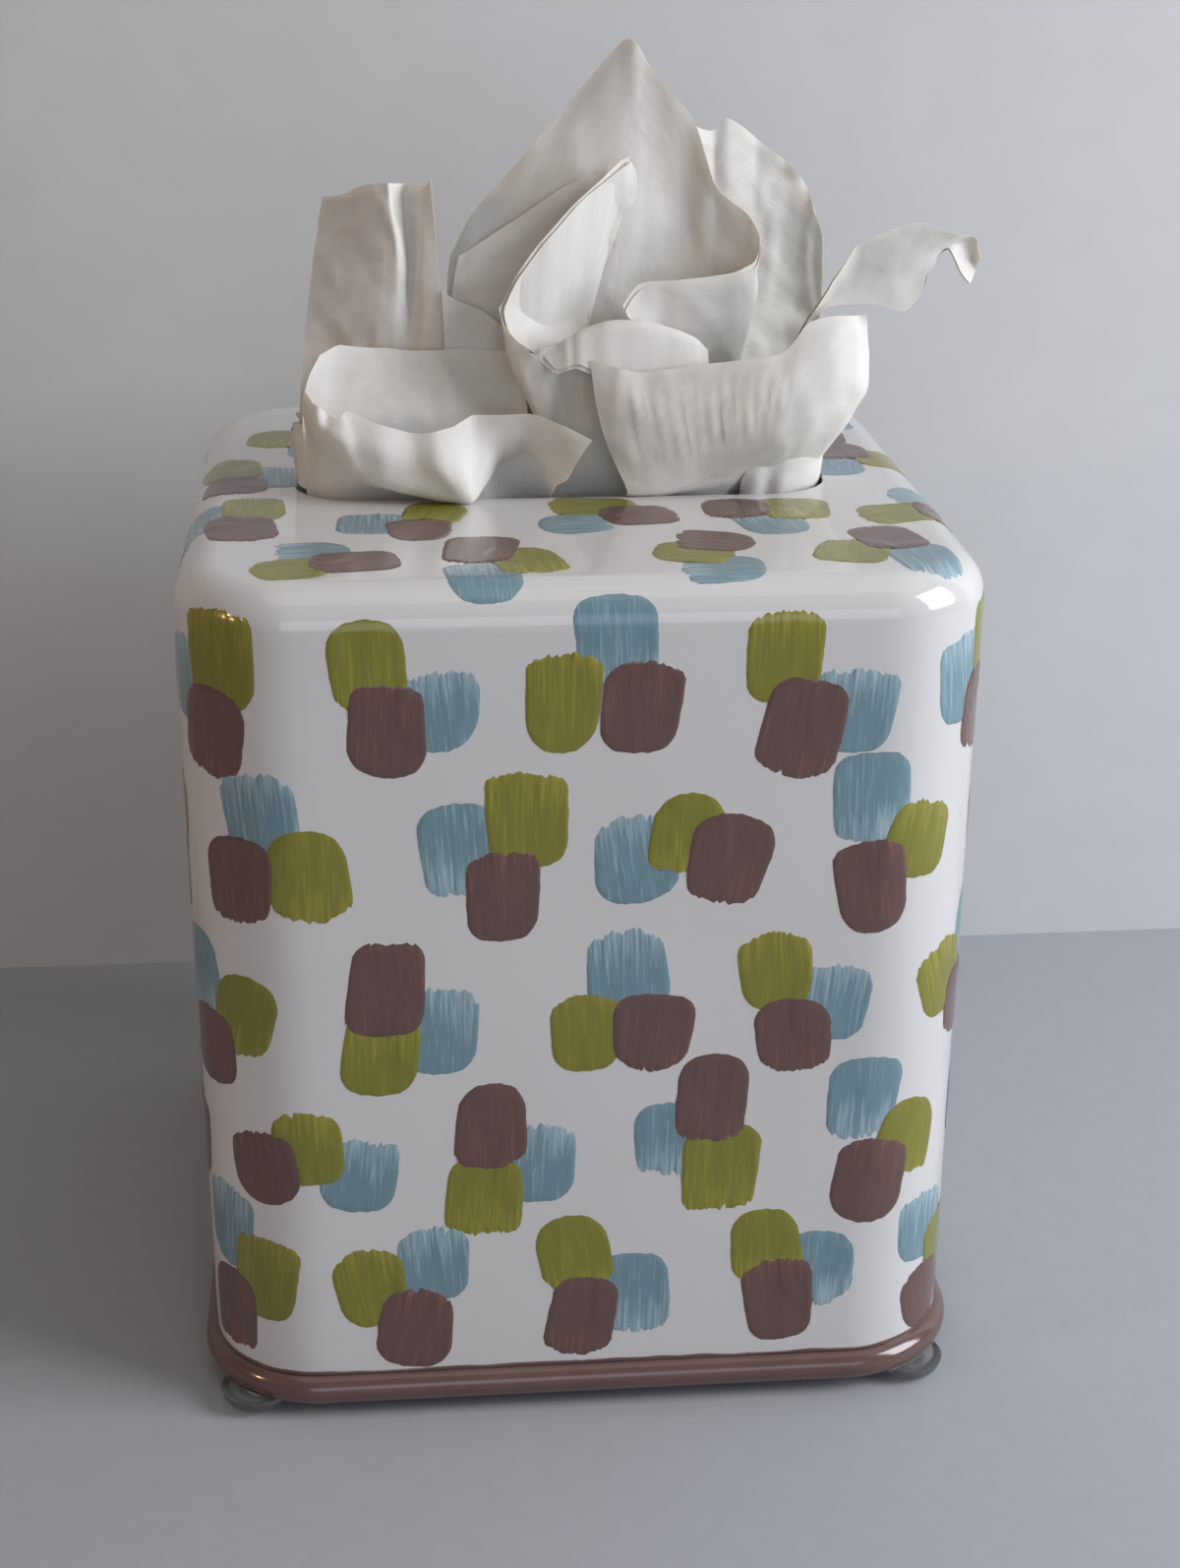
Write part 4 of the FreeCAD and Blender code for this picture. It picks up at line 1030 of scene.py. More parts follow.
BAND = [
    [(628, 490, -10.2), (638, 498, -14), (618, 452, -15), (606, 410, -15), (600, 369, -14.5)],
    [(650, 491, -10.2), (655, 499, -14), (636, 458, -16), (627, 415, -16.5), (624, 377, -15.6)],
    [(675, 491, -10.2), (680, 498, -14.2), (668, 458, -17), (658, 418, -17.8), (650, 381, -16.2)],
    [(705, 490, -10.2), (708, 488, -15), (700, 455, -18), (693, 415, -18.6), (687, 377, -17)],
    [(738, 488, -8.8), (737, 474, -16.2), (731, 442, -18.8), (727, 408, -19), (723, 372, -17.4)],
    [(765, 480, -6), (765, 461, -17.2), (762, 431, -19.2), (760, 400, -19.2), (758, 367, -17.8)],
    [(788, 474, -5.6), (792, 448, -17.8), (792, 420, -19.4), (793, 392, -19.4), (796, 362, -18.2)],
    [(800, 468, -5), (818, 436, -17.8), (822, 408, -19.4), (822, 375, -19.2), (822, 333, -17.8)],
    [(808, 463, -4), (842, 424, -17), (850, 398, -18.4), (850, 365, -18.4), (848, 324, -17)],
    [(813, 460, -3), (860, 424, -13.4), (872, 396, -15), (873, 362, -15.4), (870, 322, -14.4)],
    [(816, 459, -2), (856, 432, -8.5), (880, 396, -10.5), (883, 358, -11), (880, 323, -10.8)],
    [(815, 460, -1), (842, 438, -4.6), (866, 406, -6), (877, 368, -6.6), (876, 330, -6.8)],
]
RIGHT_END = [
    [(752, 497, -9.8), (753, 491, -10.8), (755, 485, -11.8), (758, 479, -12.8), (761, 473, -13.6)],
    [(766, 497, -10.6), (767, 489, -11.6), (768, 481, -12.4), (770, 474, -13), (772, 468, -13.6)],
    [(780, 497, -9.6), (781, 488, -10.4), (782, 479, -11.4), (784, 470, -12.2), (786, 462, -12.8)],
    [(793, 496, -10.2), (795, 486, -11), (797, 476, -11.8), (800, 466, -12.6), (803, 457, -13)],
    [(808, 495, -8.6), (810, 484, -9.4), (813, 473, -10.2), (816, 462, -11), (819, 452, -11.4)],
    [(825, 490, -6), (828, 479, -6.4), (830, 467, -7), (833, 456, -7.4), (835, 446, -7.6)],
    [(832, 479, -1.2), (835, 468, -1.4), (837, 457, -1.8), (839, 449, -2), (841, 442, -2.2)],
    [(830, 469, 4.4), (832, 460, 4.2), (834, 451, 4), (836, 443, 3.8), (837, 436, 3.6)],
]
STRIP_EDGES = [
    ((806, 356, -16.8), (808, 350, -17)), ((820, 328, -16.2), (828, 318, -17.4)),
    ((842, 312, -15.6), (848.6, 285, -18)), ((864, 309, -15.2), (872, 248, -18.6)),
    ((888, 308.5, -15), (897, 237, -18.8)), ((920, 316.5, -14.6), (931, 229, -18.4)),
    ((938, 297, -14.4), (954, 232, -17.6)), ((946, 268, -14.6), (973, 237, -16.4)),
    ((964, 252, -15), (986, 240, -13.6)), ((977, 278, -16.6), (994, 247, -14)),
    ((986, 289, -16.8), (997, 262, -15.4)),
]


def spline(values, t, softness=1.0):
    """A curve through values, at a place t counted in values: smooth at softness 1, folded at 0."""
    last = len(values) - 1
    k = min(int(t), last - 1)
    f = t - k
    p0, p1, p2, p3 = (values[min(max(n, 0), last)] for n in (k - 1, k, k + 1, k + 2))
    curve = 0.5 * (2 * p1 + (p2 - p0) * f + (2 * p0 - 5 * p1 + 4 * p2 - p3) * f * f
                   + (3 * p1 - p0 - 3 * p2 + p3) * f ** 3)
    return curve * softness + (p1 + (p2 - p1) * f) * (1 - softness)


def strip_columns():
    """The curling strip's columns, from its two edges, with a slight hollow between them."""
    columns = []
    for low, high in STRIP_EDGES:
        column = []
        for t in (0, 0.25, 0.5, 0.75, 1):
            across, down, depth = (a + (b - a) * t for a, b in zip(low, high))
            column.append((across, down, depth + STRIP_HOLLOW * math.sin(math.pi * t)))
        columns.append(column)
    return columns


def spaced(points, step):
    """Places along a line of points, in points, about step apart and evenly spread."""
    lengths = [0.0]
    for a, b in zip(points, points[1:]):
        lengths.append(lengths[-1] + float(np.linalg.norm(b - a)))
    count = max(3, math.ceil(lengths[-1] / step))
    places = np.linspace(0, lengths[-1], count + 1)
    return list(np.interp(places, lengths, range(len(points)))), lengths[-1]


class Sheet:
    """Gathers the leaves of one tissue, each of two plies, into one mesh."""

    def __init__(self, seed):
        self.points, self.faces, self.uvs = [], [], []
        self.seed = seed

    def add_leaf(self, columns, hidden=None, crimp=False, crumple=1.0, folds=(SOFT_ACROSS, SOFT_UP)):
        """hidden is (from x, to x, depth) of the gathered stretch below the slot, or None; folds is how
        soft the leaf bends across and up: 1 is smooth, 0 is a sharp fold at each column or row."""
        shown = [[np.array(at_pixel(*p)) for p in column] for column in columns]
        if hidden:
            start, end, depth = hidden
            for n, column in enumerate(shown):
                x = start + (end - start) * n / (len(shown) - 1)
                column[0][2] = SLOT_LEVEL
                neck = np.array((column[0][0] * NECK_WIDTH, column[0][1], NECK_LEVEL))
                heights = (LOW_LEVEL, LOW_LEVEL + HIDDEN_RISE, LOW_LEVEL + 2 * HIDDEN_RISE,
                           SPREAD_LEVEL)
                column[:0] = [np.array((x, depth, z)) for z in heights] + [neck]
        levels = len(shown[0])
        middle = shown[len(shown) // 2]
        base = levels - 5
        tall, height = spaced(middle[base:], STEP_UP)
        rows = [base + t for t in tall]
        if hidden:
            low, _ = spaced(middle[:base + 1], STEP_HIDDEN)
            rows = low[:-1] + rows
        widest = [column[0] for column in shown] if hidden else [column[2] for column in shown]
        across, width = spaced(widest, STEP_ACROSS)
        self.lay_plies(shown, rows, across, base, hidden, crimp, crumple, folds, width, height)

    def lay_plies(self, shown, rows, across, base, hidden, crimp, crumple, folds, width, height):
        """The leaf's dense grid, crumpled, in two plies with raw edges that don't quite meet."""
        levels = len(shown[0])
        grid = np.zeros((len(rows), len(across), 3))
        for j, t in enumerate(across):
            column = [spline([c[n] for c in shown], t, folds[0]) for n in range(levels)]
            for i, r in enumerate(rows):
                point = spline(column, r, folds[1])
                if hidden and r < base:
                    deep = PLEAT * ease((PLEATS_START - point[2]) / PLEATS_FULL)
                    deep *= 1 + PLEAT_UNEVEN * noise.noise((point[0] / UNEVEN_SIZE[0],
                                                            point[2] / UNEVEN_SIZE[1], 8.1))
                    drift = PLEAT_DRIFT * noise.noise((point[0] / DRIFT_SIZE[0],
                                                       point[2] / DRIFT_SIZE[1], 2.7))
                    point[1] += deep * math.sin(2 * math.pi * (point[0] + drift) / PLEAT_PITCH)
                grid[i, j] = point
        up = np.gradient(grid, axis=0)
        over = np.gradient(grid, axis=1)
        normal = np.cross(over, up)
        normal /= np.maximum(np.linalg.norm(normal, axis=2, keepdims=True), 1e-9)
        grid += normal * self.crumple(grid, rows, across, base, crimp, crumple)[:, :, None]
        for ply in (-1, 1):
            sheet = grid + normal * (ply * PLY_GAP / 2)
            for j in range(len(across)):
                wander = noise.noise((j * PLY_EDGE_RATE, self.seed, ply * 9.0)) * PLY_UNEVEN
                reach = sheet[-1, j] - sheet[-2, j]
                reach /= max(np.linalg.norm(reach), 1e-9)
                sheet[-1, j] += reach * (wander + ply * PLY_STAGGER)
            self.add_grid(sheet, width, height, ply)

    def crumple(self, grid, rows, across, base, crimp, crumple):
        """How far the paper stands off its smooth shape: soft dents, sharp small creases and crimps."""
        off, pressed = np.zeros(grid.shape[:2]), np.zeros(grid.shape[:2])
        dent, line, slant, small, fine = DENT_SIZE, CREASE_SIZE, CROSS_SIZE, SMALL_SIZE, FINE_SIZE
        seed = self.seed * 17.3
        for i, row in enumerate(rows):
            free = ease((row - base) / 1.2) * crumple
            for j in range(len(across)):
                x, y, z = grid[i, j]
                soft = noise.noise((x / dent[0] + seed, z / dent[1], y / dent[0])) * DENT
                crease = abs(noise.noise((x / line[0] - seed, z / line[1], y / line[0])))
                cross = abs(noise.noise(((x + z) / slant[0] + seed, (z - x) / slant[1], y / line[0])))
                short = abs(noise.noise(((x - z) / small[0], (z + x) / small[1] - seed, y / small[0])))
                hair = noise.noise((x / fine[0], z / fine[1] + seed, y / fine[0])) * FINE_CREASE
                value = soft + max(1 - crease * CREASE_NARROW, 0) * CREASE
                value -= max(1 - cross * CROSS_NARROW, 0) * CROSS_CREASE
                off[i, j] = (value + max(1 - short * SMALL_NARROW, 0) * SMALL_CREASE + hair) * free
                if crimp:
                    pressed[i, j] = self.crimp(x, z, across[j], row - base)
        for _ in range(CREASE_BLUR):
            padded = np.pad(off, 1, mode="edge")
            off = (padded[:-2, 1:-1] + padded[2:, 1:-1] + padded[1:-1, :-2] + padded[1:-1, 2:]
                   + 4 * padded[1:-1, 1:-1]) / 8
        return off + pressed

    def crimp(self, x, z, along, up):
        """The pressed ripples along the folded band: short ridges three millimetres apart."""
        window = ease((along - CRIMP_FROM[0]) / CRIMP_FROM[1])
        window *= ease((CRIMP_TO[0] - along) / CRIMP_TO[1])
        window *= ease((up - CRIMP_LOW[0]) / CRIMP_LOW[1])
        window *= ease((CRIMP_HIGH[0] - up) / CRIMP_HIGH[1])
        uneven = 0.6 + 0.6 * noise.noise((x / 7, z / 9, 4.2))
        turn = 2 * math.pi * (x + CRIMP_SLANT * (z - TOP)) / CRIMP_PITCH
        ridge = math.sin(turn + 1.3 * noise.noise((x / 9, z / 6, 0)))
        return CRIMP * window * uneven * ridge

    def add_grid(self, sheet, width, height, ply):
        """Adds one ply's grid of points as quads, with its place on the sheet in millimetres."""
        start = len(self.points)
        tall, wide = sheet.shape[:2]
        self.points += [tuple(p) for row in sheet for p in row]
        self.uvs += [(width * j / (wide - 1) + self.seed * PATTERN_APART,
                      height * i / PATTERN_ROWS + ply * PLY_APART)
                     for i in range(tall) for j in range(wide)]
        for i in range(tall - 1):
            for j in range(wide - 1):
                a = start + i * wide + j
                self.faces.append((a, a + 1, a + wide + 1, a + wide))

    def make(self, name, material, node):
        """The finished sheet, which stands for a CAD node and rides with the tissues."""
        piece = mesh_object(name, self.points, self.faces, material)
        layer = piece.data.uv_layers.new(name="sheet")
        corners = [c for loop in piece.data.loops for c in self.uvs[loop.vertex_index]]
        layer.data.foreach_set("uv", corners)
        solid = piece.modifiers.new("paper", "SOLIDIFY")
        solid.thickness = PLY_THICKNESS * MM
        solid.offset = 0
        mesh = made_plain(piece, solid)
        mesh.set_sharp_from_angle(angle=math.radians(SHARP_FOLD))
        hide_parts(node)
        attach(piece, "tissues")
        return piece


def build_tissues(material):
    """The four pulled tissues, back to front."""
    rear = Sheet(1)
    rear.add_leaf(REAR_LEFT, (-43, -8, 4.6), crumple=0.8, folds=(0.25, 0.8))
    rear.add_leaf(REAR_LAYER, (-16, 2, 3.2), crumple=0.5)
    rear.add_leaf(REAR_RIGHT, (8, 43, 4.6))
    rear.add_leaf(LEFT_CURL, crumple=0.3)
    rear.make("tissue_back_sheet", material, "tissue_rear")
    peak = Sheet(2)
    peak.add_leaf(PEAK, (-43, 43, 1.6), crumple=0.8)
    peak.add_leaf(PEAK_TUCK, (-14, 8, 0.4), crumple=0.6)
    peak.make("tissue_peak_sheet", material, "tissue_peak")
    inner = Sheet(3)
    inner.add_leaf(INNER, (-43, 43, -1.2), crumple=0.6)
    inner.add_leaf(INNER_FACET, crumple=0.4)
    inner.make("tissue_inner_sheet", material, "tissue_inner")
    front = Sheet(4)
    front.add_leaf(POUCH, (-43, -4, -3.4), crumple=0.5)
    front.add_leaf(LIP, (-43, 1, -5.4), crumple=0.8, folds=(0.25, 0.45))
    front.add_leaf(BAND, (3, 43, -5.4), crimp=True, crumple=0.7, folds=(0.6, 0.5))
    front.add_leaf(RIGHT_END, (26, 43, -7.2), crumple=0.4, folds=(0.5, 0.9))
    front.add_leaf(strip_columns(), crumple=0.4)
    front.make("tissue_front_sheet", material, "tissue_front")


# Within this of its outermost face, in millimetres, a face of the carton is on its printed side
BOARD_NEAR, BOARD_WALL_NEAR = 0.2, 0.3
# A folded tissue's leaf and its air gap, as shares of the pile's pitch, and its fold's steps in radians
LEAF_SHARE, GAP_SHARE = 0.43, 0.11
FOLD_STEPS = (-0.8, 0, 0.8)
# How much the paper's pattern slides from one folded tissue to the next
PATTERN_SLIDE = (3.1, 7.7)
PILE_SEED = 5
CARTON_SHARP = 25


def build_carton(material):
    """The refill carton: a merged copy of the folded board, with its unprinted side marked."""
    carton = smooth_copy("refill_box", "refill_carton", material, CARTON_SHARP)
    half = CARTON_HIGH.x - BOARD_WALL_NEAR * MM
    low, high = BOARD_NEAR * MM, CARTON_HIGH.z - BOARD_NEAR * MM
    inside = carton.data.attributes.new("inside", "FLOAT", "FACE")
    values = []
    for face in carton.data.polygons:
        x, y, z = face.center
        values.append(0.0 if max(abs(x), abs(y)) > half or z > high or z < low else 1.0)
    inside.data.foreach_set("value", values)
    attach(carton, "refill")


def folded_sheet(half_x, half_y, leaf, gap):
    """One tissue folded in two, lying level with its fold at +Y: points and faces in millimetres."""
    outer, inner = leaf + gap / 2, gap / 2
    fold = half_y - outer
    profile = [(-half_y, -outer), (0, -outer), (fold, -outer)]
    profile += [(fold + outer * math.cos(a), outer * math.sin(a)) for a in FOLD_STEPS]
    profile += [(fold, outer), (0, outer), (-half_y, outer)]
    profile += [(-half_y, inner), (0, inner), (fold, inner), (fold + inner, 0)]
    profile += [(fold, -inner), (0, -inner), (-half_y, -inner)]
    rings = [[(x, y, z) for y, z in profile] for x in (-half_x, 0, half_x)]
    points, faces = loft(rings)
    count = len(profile)
    faces.append(tuple(range(count)))
    faces.append(tuple(2 * count + k for k in reversed(range(count))))
    return points, faces


def pile_tree():
    """Geometry nodes that stack a sheet: turned about by turns, each shifted a little."""
    tree = bpy.data.node_groups.new("stacked_sheets", "GeometryNodeTree")
    for name, kind in (("Geometry", "Geometry"), ("Count", "Int"), ("Pitch", "Float"),
                       ("Lowest", "Float"), ("Shift", "Float"), ("Seed", "Int"),
                       ("Material", "Material")):
        tree.interface.new_socket(name, in_out="INPUT", socket_type=f"NodeSocket{kind}")
    tree.interface.new_socket("Geometry", in_out="OUTPUT", socket_type="NodeSocketGeometry")
    given = add(tree, "NodeGroupInput").outputs
    out = add(tree, "NodeGroupOutput")
    start = add(tree, "ShaderNodeCombineXYZ", links={"Z": given["Lowest"]})
    step = add(tree, "ShaderNodeCombineXYZ", links={"Z": given["Pitch"]})
    line = add(tree, "GeometryNodeMeshLine",
               links={"Count": given["Count"], "Start Location": start.outputs[0],
                      "Offset": step.outputs[0]})
    index = add(tree, "GeometryNodeInputIndex")
    odd = add(tree, "ShaderNodeMath", {1: 2.0}, {0: index.outputs[0]}, operation="MODULO")
    half_turn = add(tree, "ShaderNodeMath", {1: math.pi}, {0: odd.outputs[0]}, operation="MULTIPLY")
    turn = add(tree, "ShaderNodeCombineXYZ", links={"Z": half_turn.outputs[0]})
    rotation = add(tree, "FunctionNodeEulerToRotation", links={0: turn.outputs[0]})
    stack = add(tree, "GeometryNodeInstanceOnPoints",
                links={"Points": line.outputs["Mesh"], "Instance": given["Geometry"],
                       "Rotation": rotation.outputs[0]})
    less = add(tree, "ShaderNodeMath", {1: -1.0}, {0: given["Shift"]}, operation="MULTIPLY")
    low = add(tree, "ShaderNodeCombineXYZ", links={"X": less.outputs[0], "Y": less.outputs[0]})
    high = add(tree, "ShaderNodeCombineXYZ", links={"X": given["Shift"], "Y": given["Shift"]})
    drift = add(tree, "FunctionNodeRandomValue", data_type="FLOAT_VECTOR",
                links={"Min": low.outputs[0], "Max": high.outputs[0], "Seed": given["Seed"]})
    moved = add(tree, "GeometryNodeTranslateInstances", {"Local Space": False},
                {"Instances": stack.outputs[0], "Translation": drift.outputs[0]})
    real = add(tree, "GeometryNodeRealizeInstances", links={"Geometry": moved.outputs[0]})
    dressed = add(tree, "GeometryNodeSetMaterial",
                  links={"Geometry": real.outputs[0], "Material": given["Material"]})
    tree.links.new(dressed.outputs[0], out.inputs["Geometry"])
    return tree


def build_pile(material, count, shift, seed):
    """The folded tissues left in the carton, stacked by geometry nodes and made one plain mesh."""
    pitch = (PILE_HIGH.z - PILE_LOW.z) / count
    leaf, gap = pitch / MM * LEAF_SHARE, pitch / MM * GAP_SHARE
    half_x, half_y = PILE_HIGH.x / MM - shift, PILE_HIGH.y / MM - shift
    sheet = folded_sheet(half_x, half_y, leaf, gap)
    piece = mesh_object("folded_tissue_pile", *sheet, material, smooth=False)
    turn_outwards(piece)
    tree = pile_tree()
    stack = piece.modifiers.new("stack", "NODES")
    stack.node_group = tree
    values = {"Count": count, "Pitch": pitch, "Lowest": PILE_LOW.z + pitch / 2, "Shift": shift * MM,
              "Seed": seed, "Material": material}
    for item in tree.interface.items_tree:
        if item.name in values and item.in_out == "INPUT":
            stack[item.identifier] = values[item.name]
    mesh = made_plain(piece, stack)
    layer = mesh.uv_layers.get("sheet") or mesh.uv_layers.new(name="sheet")
    uvs = []
    for loop in mesh.loops:
        point = mesh.vertices[loop.vertex_index].co / MM
        uvs += [point.x + PATTERN_SLIDE[0] * point.z, point.y + PATTERN_SLIDE[1] * point.z]
    layer.data.foreach_set("uv", uvs)
    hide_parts("folded_tissues")
    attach(piece, "refill")


# The stage, in millimetres: the counter's ends and the wall's place and height
STAGE_SIDE, STAGE_NEAR, STAGE_FAR = 900, -700, 900
WALL_BEHIND, WALL_HEIGHT = 118, 1200
LAMINATE_GRAIN, ROLLER_GRAIN = 5.0, 14.0
ROOM_STRENGTH = 0.18
CLIP_START = 0.01
# Each lamp's name, place, aim, width, height, power in watts and colour
LAMPS = (
    ("window_right", (700, -290, 450), (0, 0, 130), 420, 520, 7.7, "#F5F8FF"),
    ("ceiling_soft", (120, 0, 900), (0, 0, 100), 900, 900, 1.5, "#FFFCF6"),
    ("front_fill", (100, -1200, 330), (0, 0, 110), 900, 500, 2.0, "#EAF1FF"),
    ("lamp_left", (-560, -260, 330), (0, 0, 150), 46, 46, 0.45, "#FFC48A"),
)


def add_lamp(name, place, aim, width, height, power, colour):
    """A soft rectangular lamp that points at a place on the part."""
    data = bpy.data.lights.new(name, "AREA")
    data.shape = "RECTANGLE"
    data.size, data.size_y = width * MM, height * MM
    data.energy = power
    data.color = linear(colour)[:3]
    lamp = bpy.data.objects.new(name, data)
    bpy.context.scene.collection.objects.link(lamp)
    lamp.location = Vector(place) * MM
    way = Vector(aim) - Vector(place)
    lamp.rotation_euler = way.to_track_quat("-Z", "Y").to_euler()


def build_stage(settings):
    """A counter that runs up to a wall, soft lamps, the world's light and the photograph's camera."""
    scene = bpy.context.scene
    scene.view_settings.view_transform = "Standard"
    left, right = -STAGE_SIDE, STAGE_SIDE
    top = [(left, STAGE_NEAR, 0), (right, STAGE_NEAR, 0), (right, STAGE_FAR, 0), (left, STAGE_FAR, 0)]
    counter = mesh_object("stage_counter", top, [(0, 1, 2, 3)],
                          plain_paint("laminate_top", settings.counter_colour, LAMINATE_GRAIN))
    face = [(x, WALL_BEHIND, z) for x, z in ((left, 0), (right, 0),
                                             (right, WALL_HEIGHT), (left, WALL_HEIGHT))]
    wall = mesh_object("stage_wall", face, [(0, 1, 2, 3)],
                       plain_paint("wall_paint_rolled", settings.wall_colour, ROLLER_GRAIN))
    for lamp in LAMPS:
        add_lamp(*lamp)

    world = bpy.data.worlds.new("room")
    scene.world = world
    world.use_nodes = True
    tree = world.node_tree
    tree.nodes.clear()
    sky = add(tree, "ShaderNodeBackground",
              {"Color": linear(settings.room_colour), "Strength": ROOM_STRENGTH})
    out = add(tree, "ShaderNodeOutputWorld")
    tree.links.new(sky.outputs["Background"], out.inputs["Surface"])

    data = bpy.data.cameras.new("camera")
    data.sensor_width = SENSOR
    data.lens = PHOTO_FOCUS / PHOTO_HEIGHT * SENSOR
    data.clip_start = CLIP_START
    camera = bpy.data.objects.new("camera", data)
    scene.collection.objects.link(camera)
    turn = Matrix((RIGHT, PLUMB, -FORWARD)).transposed()
    camera.matrix_world = Matrix.Translation(Vector(CAMERA_PLACE) * MM) @ turn.to_4x4()
    scene.camera = camera


def colour_property(name, description, default):
    """A colour that a user may change, as sRGB hex."""
    return bpy.props.StringProperty(name=name, description=description, default=default)


def size_property(name, description, default_mm):
    """A length that a user may change."""
    return bpy.props.FloatProperty(name=name, description=description, default=default_mm * MM,
                                   min=0, subtype="DISTANCE", unit="LENGTH", precision=4)


class CoverSettings(bpy.types.PropertyGroup):
    """The slot's sizes, the cover's colours and the seed of its painted dabs."""

    slot_length: size_property("Slot length", "Length of the slot in the top", 96)
    slot_width: size_property("Slot width", "Width of the slot in the top", 26)
    slot_corner: size_property("Slot corner", "Radius of the slot's corners", 12)
    enamel_colour: colour_property("Enamel", "White enamel of the shell", "#CDCBC9")
    blue_colour: colour_property("Blue", "Blue-grey dabs", "#6F8B95")
    olive_colour: colour_property("Olive", "Olive dabs", "#7C7A2B")
    brown_colour: colour_property("Brown", "Brown dabs and the rim", "#644B46")
    dab_seed: bpy.props.IntProperty(name="Layout", description="Seed of the dabs' layout", default=11,
                                    min=0)


class PaperSettings(bpy.types.PropertyGroup):
    """The refill's and the tissues' colours, and the folded tissues that are left."""

    tissue_colour: colour_property("Tissue", "White of the tissues", "#F2F1EE")
    tissue_shade: colour_property("Tissue shade", "The tissues' darker cloud", "#EAE8E3")
    tissue_glow: colour_property("Tissue glow", "Light that comes through the tissues", "#F2E9D2")
    carton_colour: colour_property("Carton", "Printed face of the carton", "#B9C6CC")
    sheets_left: bpy.props.IntProperty(name="Sheets left", description="Folded tissues in the carton",
                                       default=54, min=1)
    sheet_shift: size_property("Shift", "How far the folded tissues lie off true", 0.5)
    kraft_colour: colour_property("Board", "Unprinted side of the carton", "#B5AB99")


class StageSettings(bpy.types.PropertyGroup):
    """The counter, the wall and the room's light."""

    counter_colour: colour_property("Counter", "Counter top", "#A0A3A8")
    wall_colour: colour_property("Wall", "Wall behind", "#C1C2C2")
    room_colour: colour_property("Room", "Light of the room", "#F6F9FF")


def chosen_paper(context):
    """The tissues' material in the colours that are set."""
    paper = context.scene.cover_paper
    return tissue_paper(paper.tissue_colour, paper.tissue_shade, paper.tissue_glow)


class COVER_OT_stage(bpy.types.Operator):
    """Counter, wall, lamps and camera"""

    bl_idname = "tissue_cover.stage"
    bl_label = "Stage"

    def execute(self, context):
        build_stage(context.scene.cover_stage)
        return {"FINISHED"}


class COVER_OT_shell(bpy.types.Operator):
    """The enamelled steel shell with its slot"""

    bl_idname = "tissue_cover.shell"
    bl_label = "Enamelled shell"

    def execute(self, context):
        cover = context.scene.cover_look
        build_shell(white_enamel(cover.enamel_colour), cover.slot_length / MM, cover.slot_width / MM,
                    cover.slot_corner / MM)
        return {"FINISHED"}


class COVER_OT_rim(bpy.types.Operator):
    """The rolled rim and the wire in it"""

    bl_idname = "tissue_cover.rim"
    bl_label = "Rolled rim and wire"

    def execute(self, context):
        build_rim(rim_enamel(context.scene.cover_look.brown_colour))
        wire = smooth_copy("stiffening_wire", "rim_wire", drawn_wire())
        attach(wire, "cover")
        return {"FINISHED"}


class COVER_OT_feet(bpy.types.Operator):
    """The four clear bumper feet and their adhesive"""

    bl_idname = "tissue_cover.feet"
    bl_label = "Bumper feet"

    def execute(self, context):
        vinyl = clear_vinyl()
        for place in ("front_left", "front_right", "back_left", "back_right"):
            foot = smooth_copy(f"bumper_{place}", f"foot_{place}", vinyl)
            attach(foot, "cover")
        film = smooth_copy("bumper_adhesive", "foot_adhesive", adhesive_film())
        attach(film, "cover")
        return {"FINISHED"}


class COVER_OT_dabs(bpy.types.Operator):
    """The hand-brushed enamel dabs in three colours"""

    bl_idname = "tissue_cover.dabs"
    bl_label = "Brush dabs"

    def execute(self, context):
        cover = context.scene.cover_look
        materials = {
            colour: brushed_enamel(f"{colour}_enamel_brushed", getattr(cover, f"{colour}_colour"),
                                   *THIN_PAINT[colour])
            for colour in COLOURS
        }
        build_dabs(materials, cover.dab_seed)
        return {"FINISHED"}


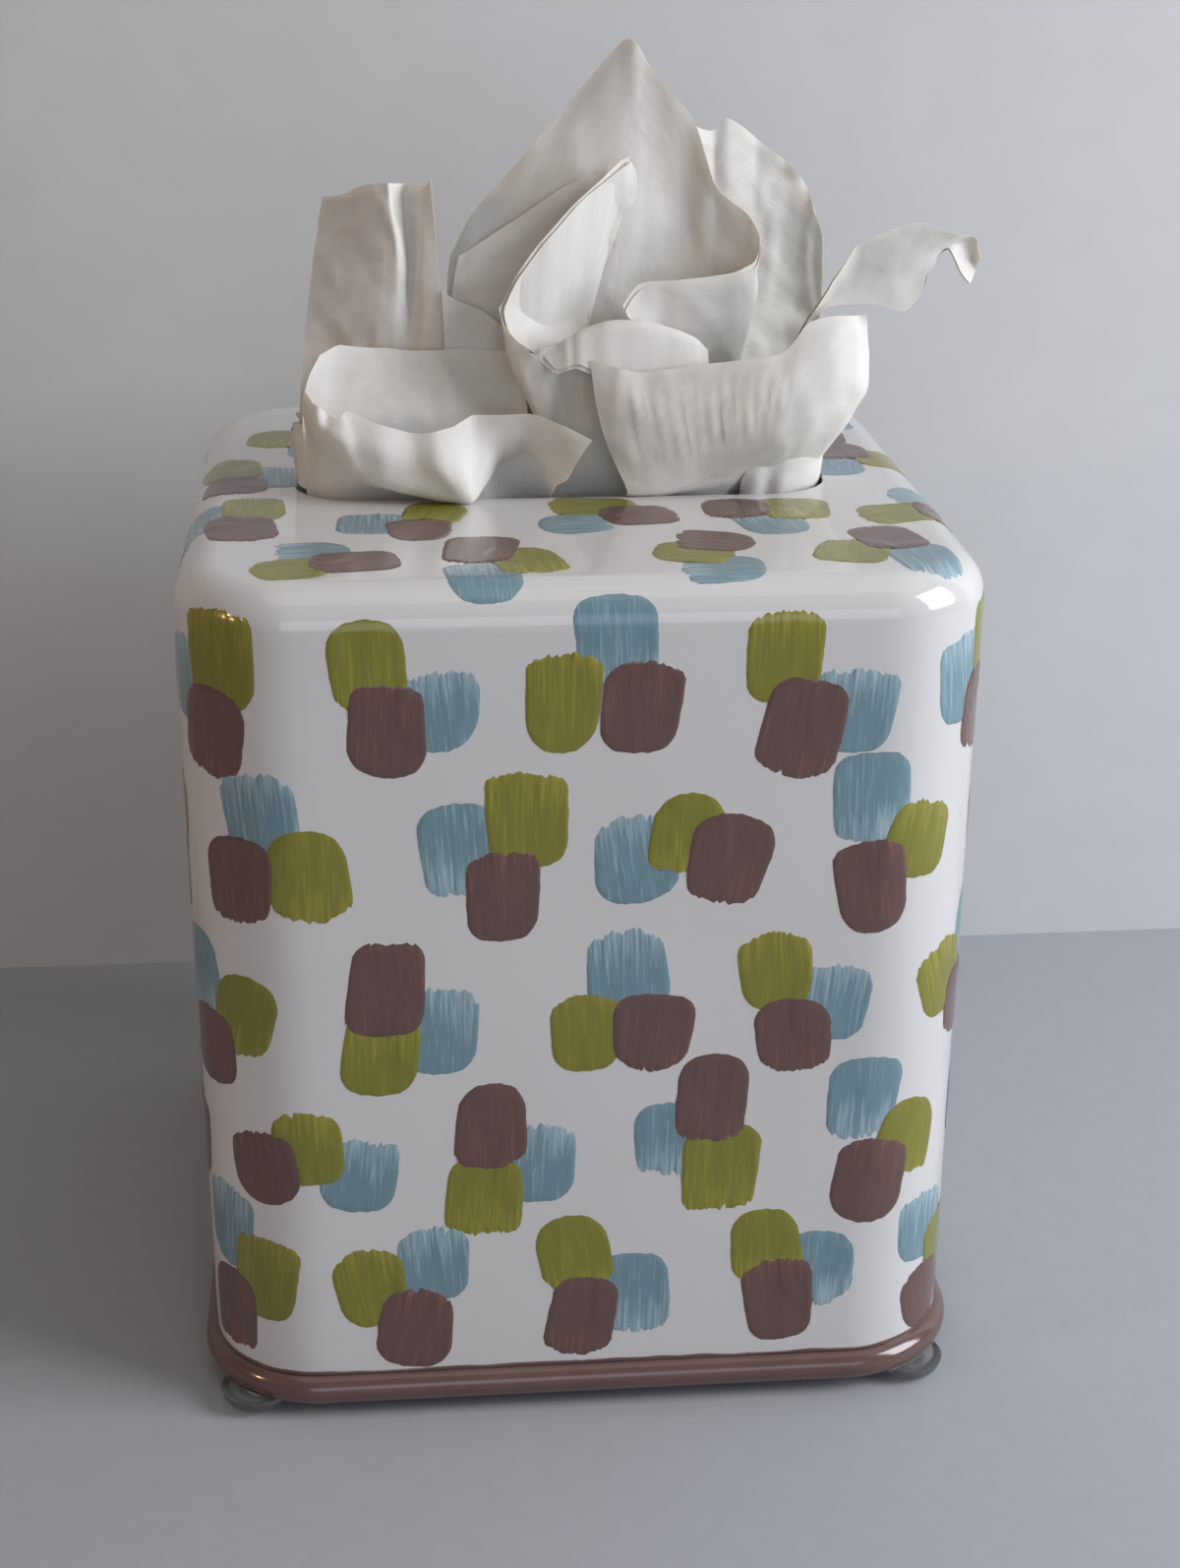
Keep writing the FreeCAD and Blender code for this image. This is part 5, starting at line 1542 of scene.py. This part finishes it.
class COVER_OT_tissues(bpy.types.Operator):
    """The four tissues pulled up through the slot"""

    bl_idname = "tissue_cover.tissues"
    bl_label = "Pulled tissues"

    def execute(self, context):
        build_tissues(chosen_paper(context))
        return {"FINISHED"}


class COVER_OT_pile(bpy.types.Operator):
    """The folded tissues that are left in the carton"""

    bl_idname = "tissue_cover.pile"
    bl_label = "Folded tissues"

    def execute(self, context):
        paper = context.scene.cover_paper
        build_pile(chosen_paper(context), paper.sheets_left, paper.sheet_shift / MM, PILE_SEED)
        return {"FINISHED"}


class COVER_OT_carton(bpy.types.Operator):
    """The refill carton inside the cover"""

    bl_idname = "tissue_cover.carton"
    bl_label = "Refill carton"

    def execute(self, context):
        paper = context.scene.cover_paper
        build_carton(coated_board(paper.carton_colour, paper.kraft_colour))
        return {"FINISHED"}


class COVER_PT_pieces(bpy.types.Panel):
    """Lists the pieces that the operators make"""

    bl_label = "Tissue cover"
    bl_idname = "COVER_PT_pieces"
    bl_space_type = "VIEW_3D"
    bl_region_type = "UI"
    bl_category = "Tissue cover"

    def draw(self, context):
        for operator in OPERATORS:
            self.layout.operator(operator.bl_idname)


OPERATORS = (COVER_OT_stage, COVER_OT_shell, COVER_OT_rim, COVER_OT_feet, COVER_OT_dabs,
             COVER_OT_tissues, COVER_OT_carton, COVER_OT_pile)
CLASSES = (CoverSettings, PaperSettings, StageSettings, *OPERATORS, COVER_PT_pieces)


def register():
    """Registers the classes and the scene's settings."""
    for known in CLASSES:
        bpy.utils.register_class(known)
    bpy.types.Scene.cover_look = bpy.props.PointerProperty(type=CoverSettings)
    bpy.types.Scene.cover_paper = bpy.props.PointerProperty(type=PaperSettings)
    bpy.types.Scene.cover_stage = bpy.props.PointerProperty(type=StageSettings)


def unregister():
    """Takes the classes and the settings away again."""
    del bpy.types.Scene.cover_stage, bpy.types.Scene.cover_paper, bpy.types.Scene.cover_look
    for known in reversed(CLASSES):
        bpy.utils.unregister_class(known)


def main():
    """Builds every piece in order."""
    register()
    for operator in OPERATORS:
        group, name = operator.bl_idname.split(".")
        getattr(getattr(bpy.ops, group), name)()
    bpy.context.view_layer.update()


if __name__ == "__main__":
    main()
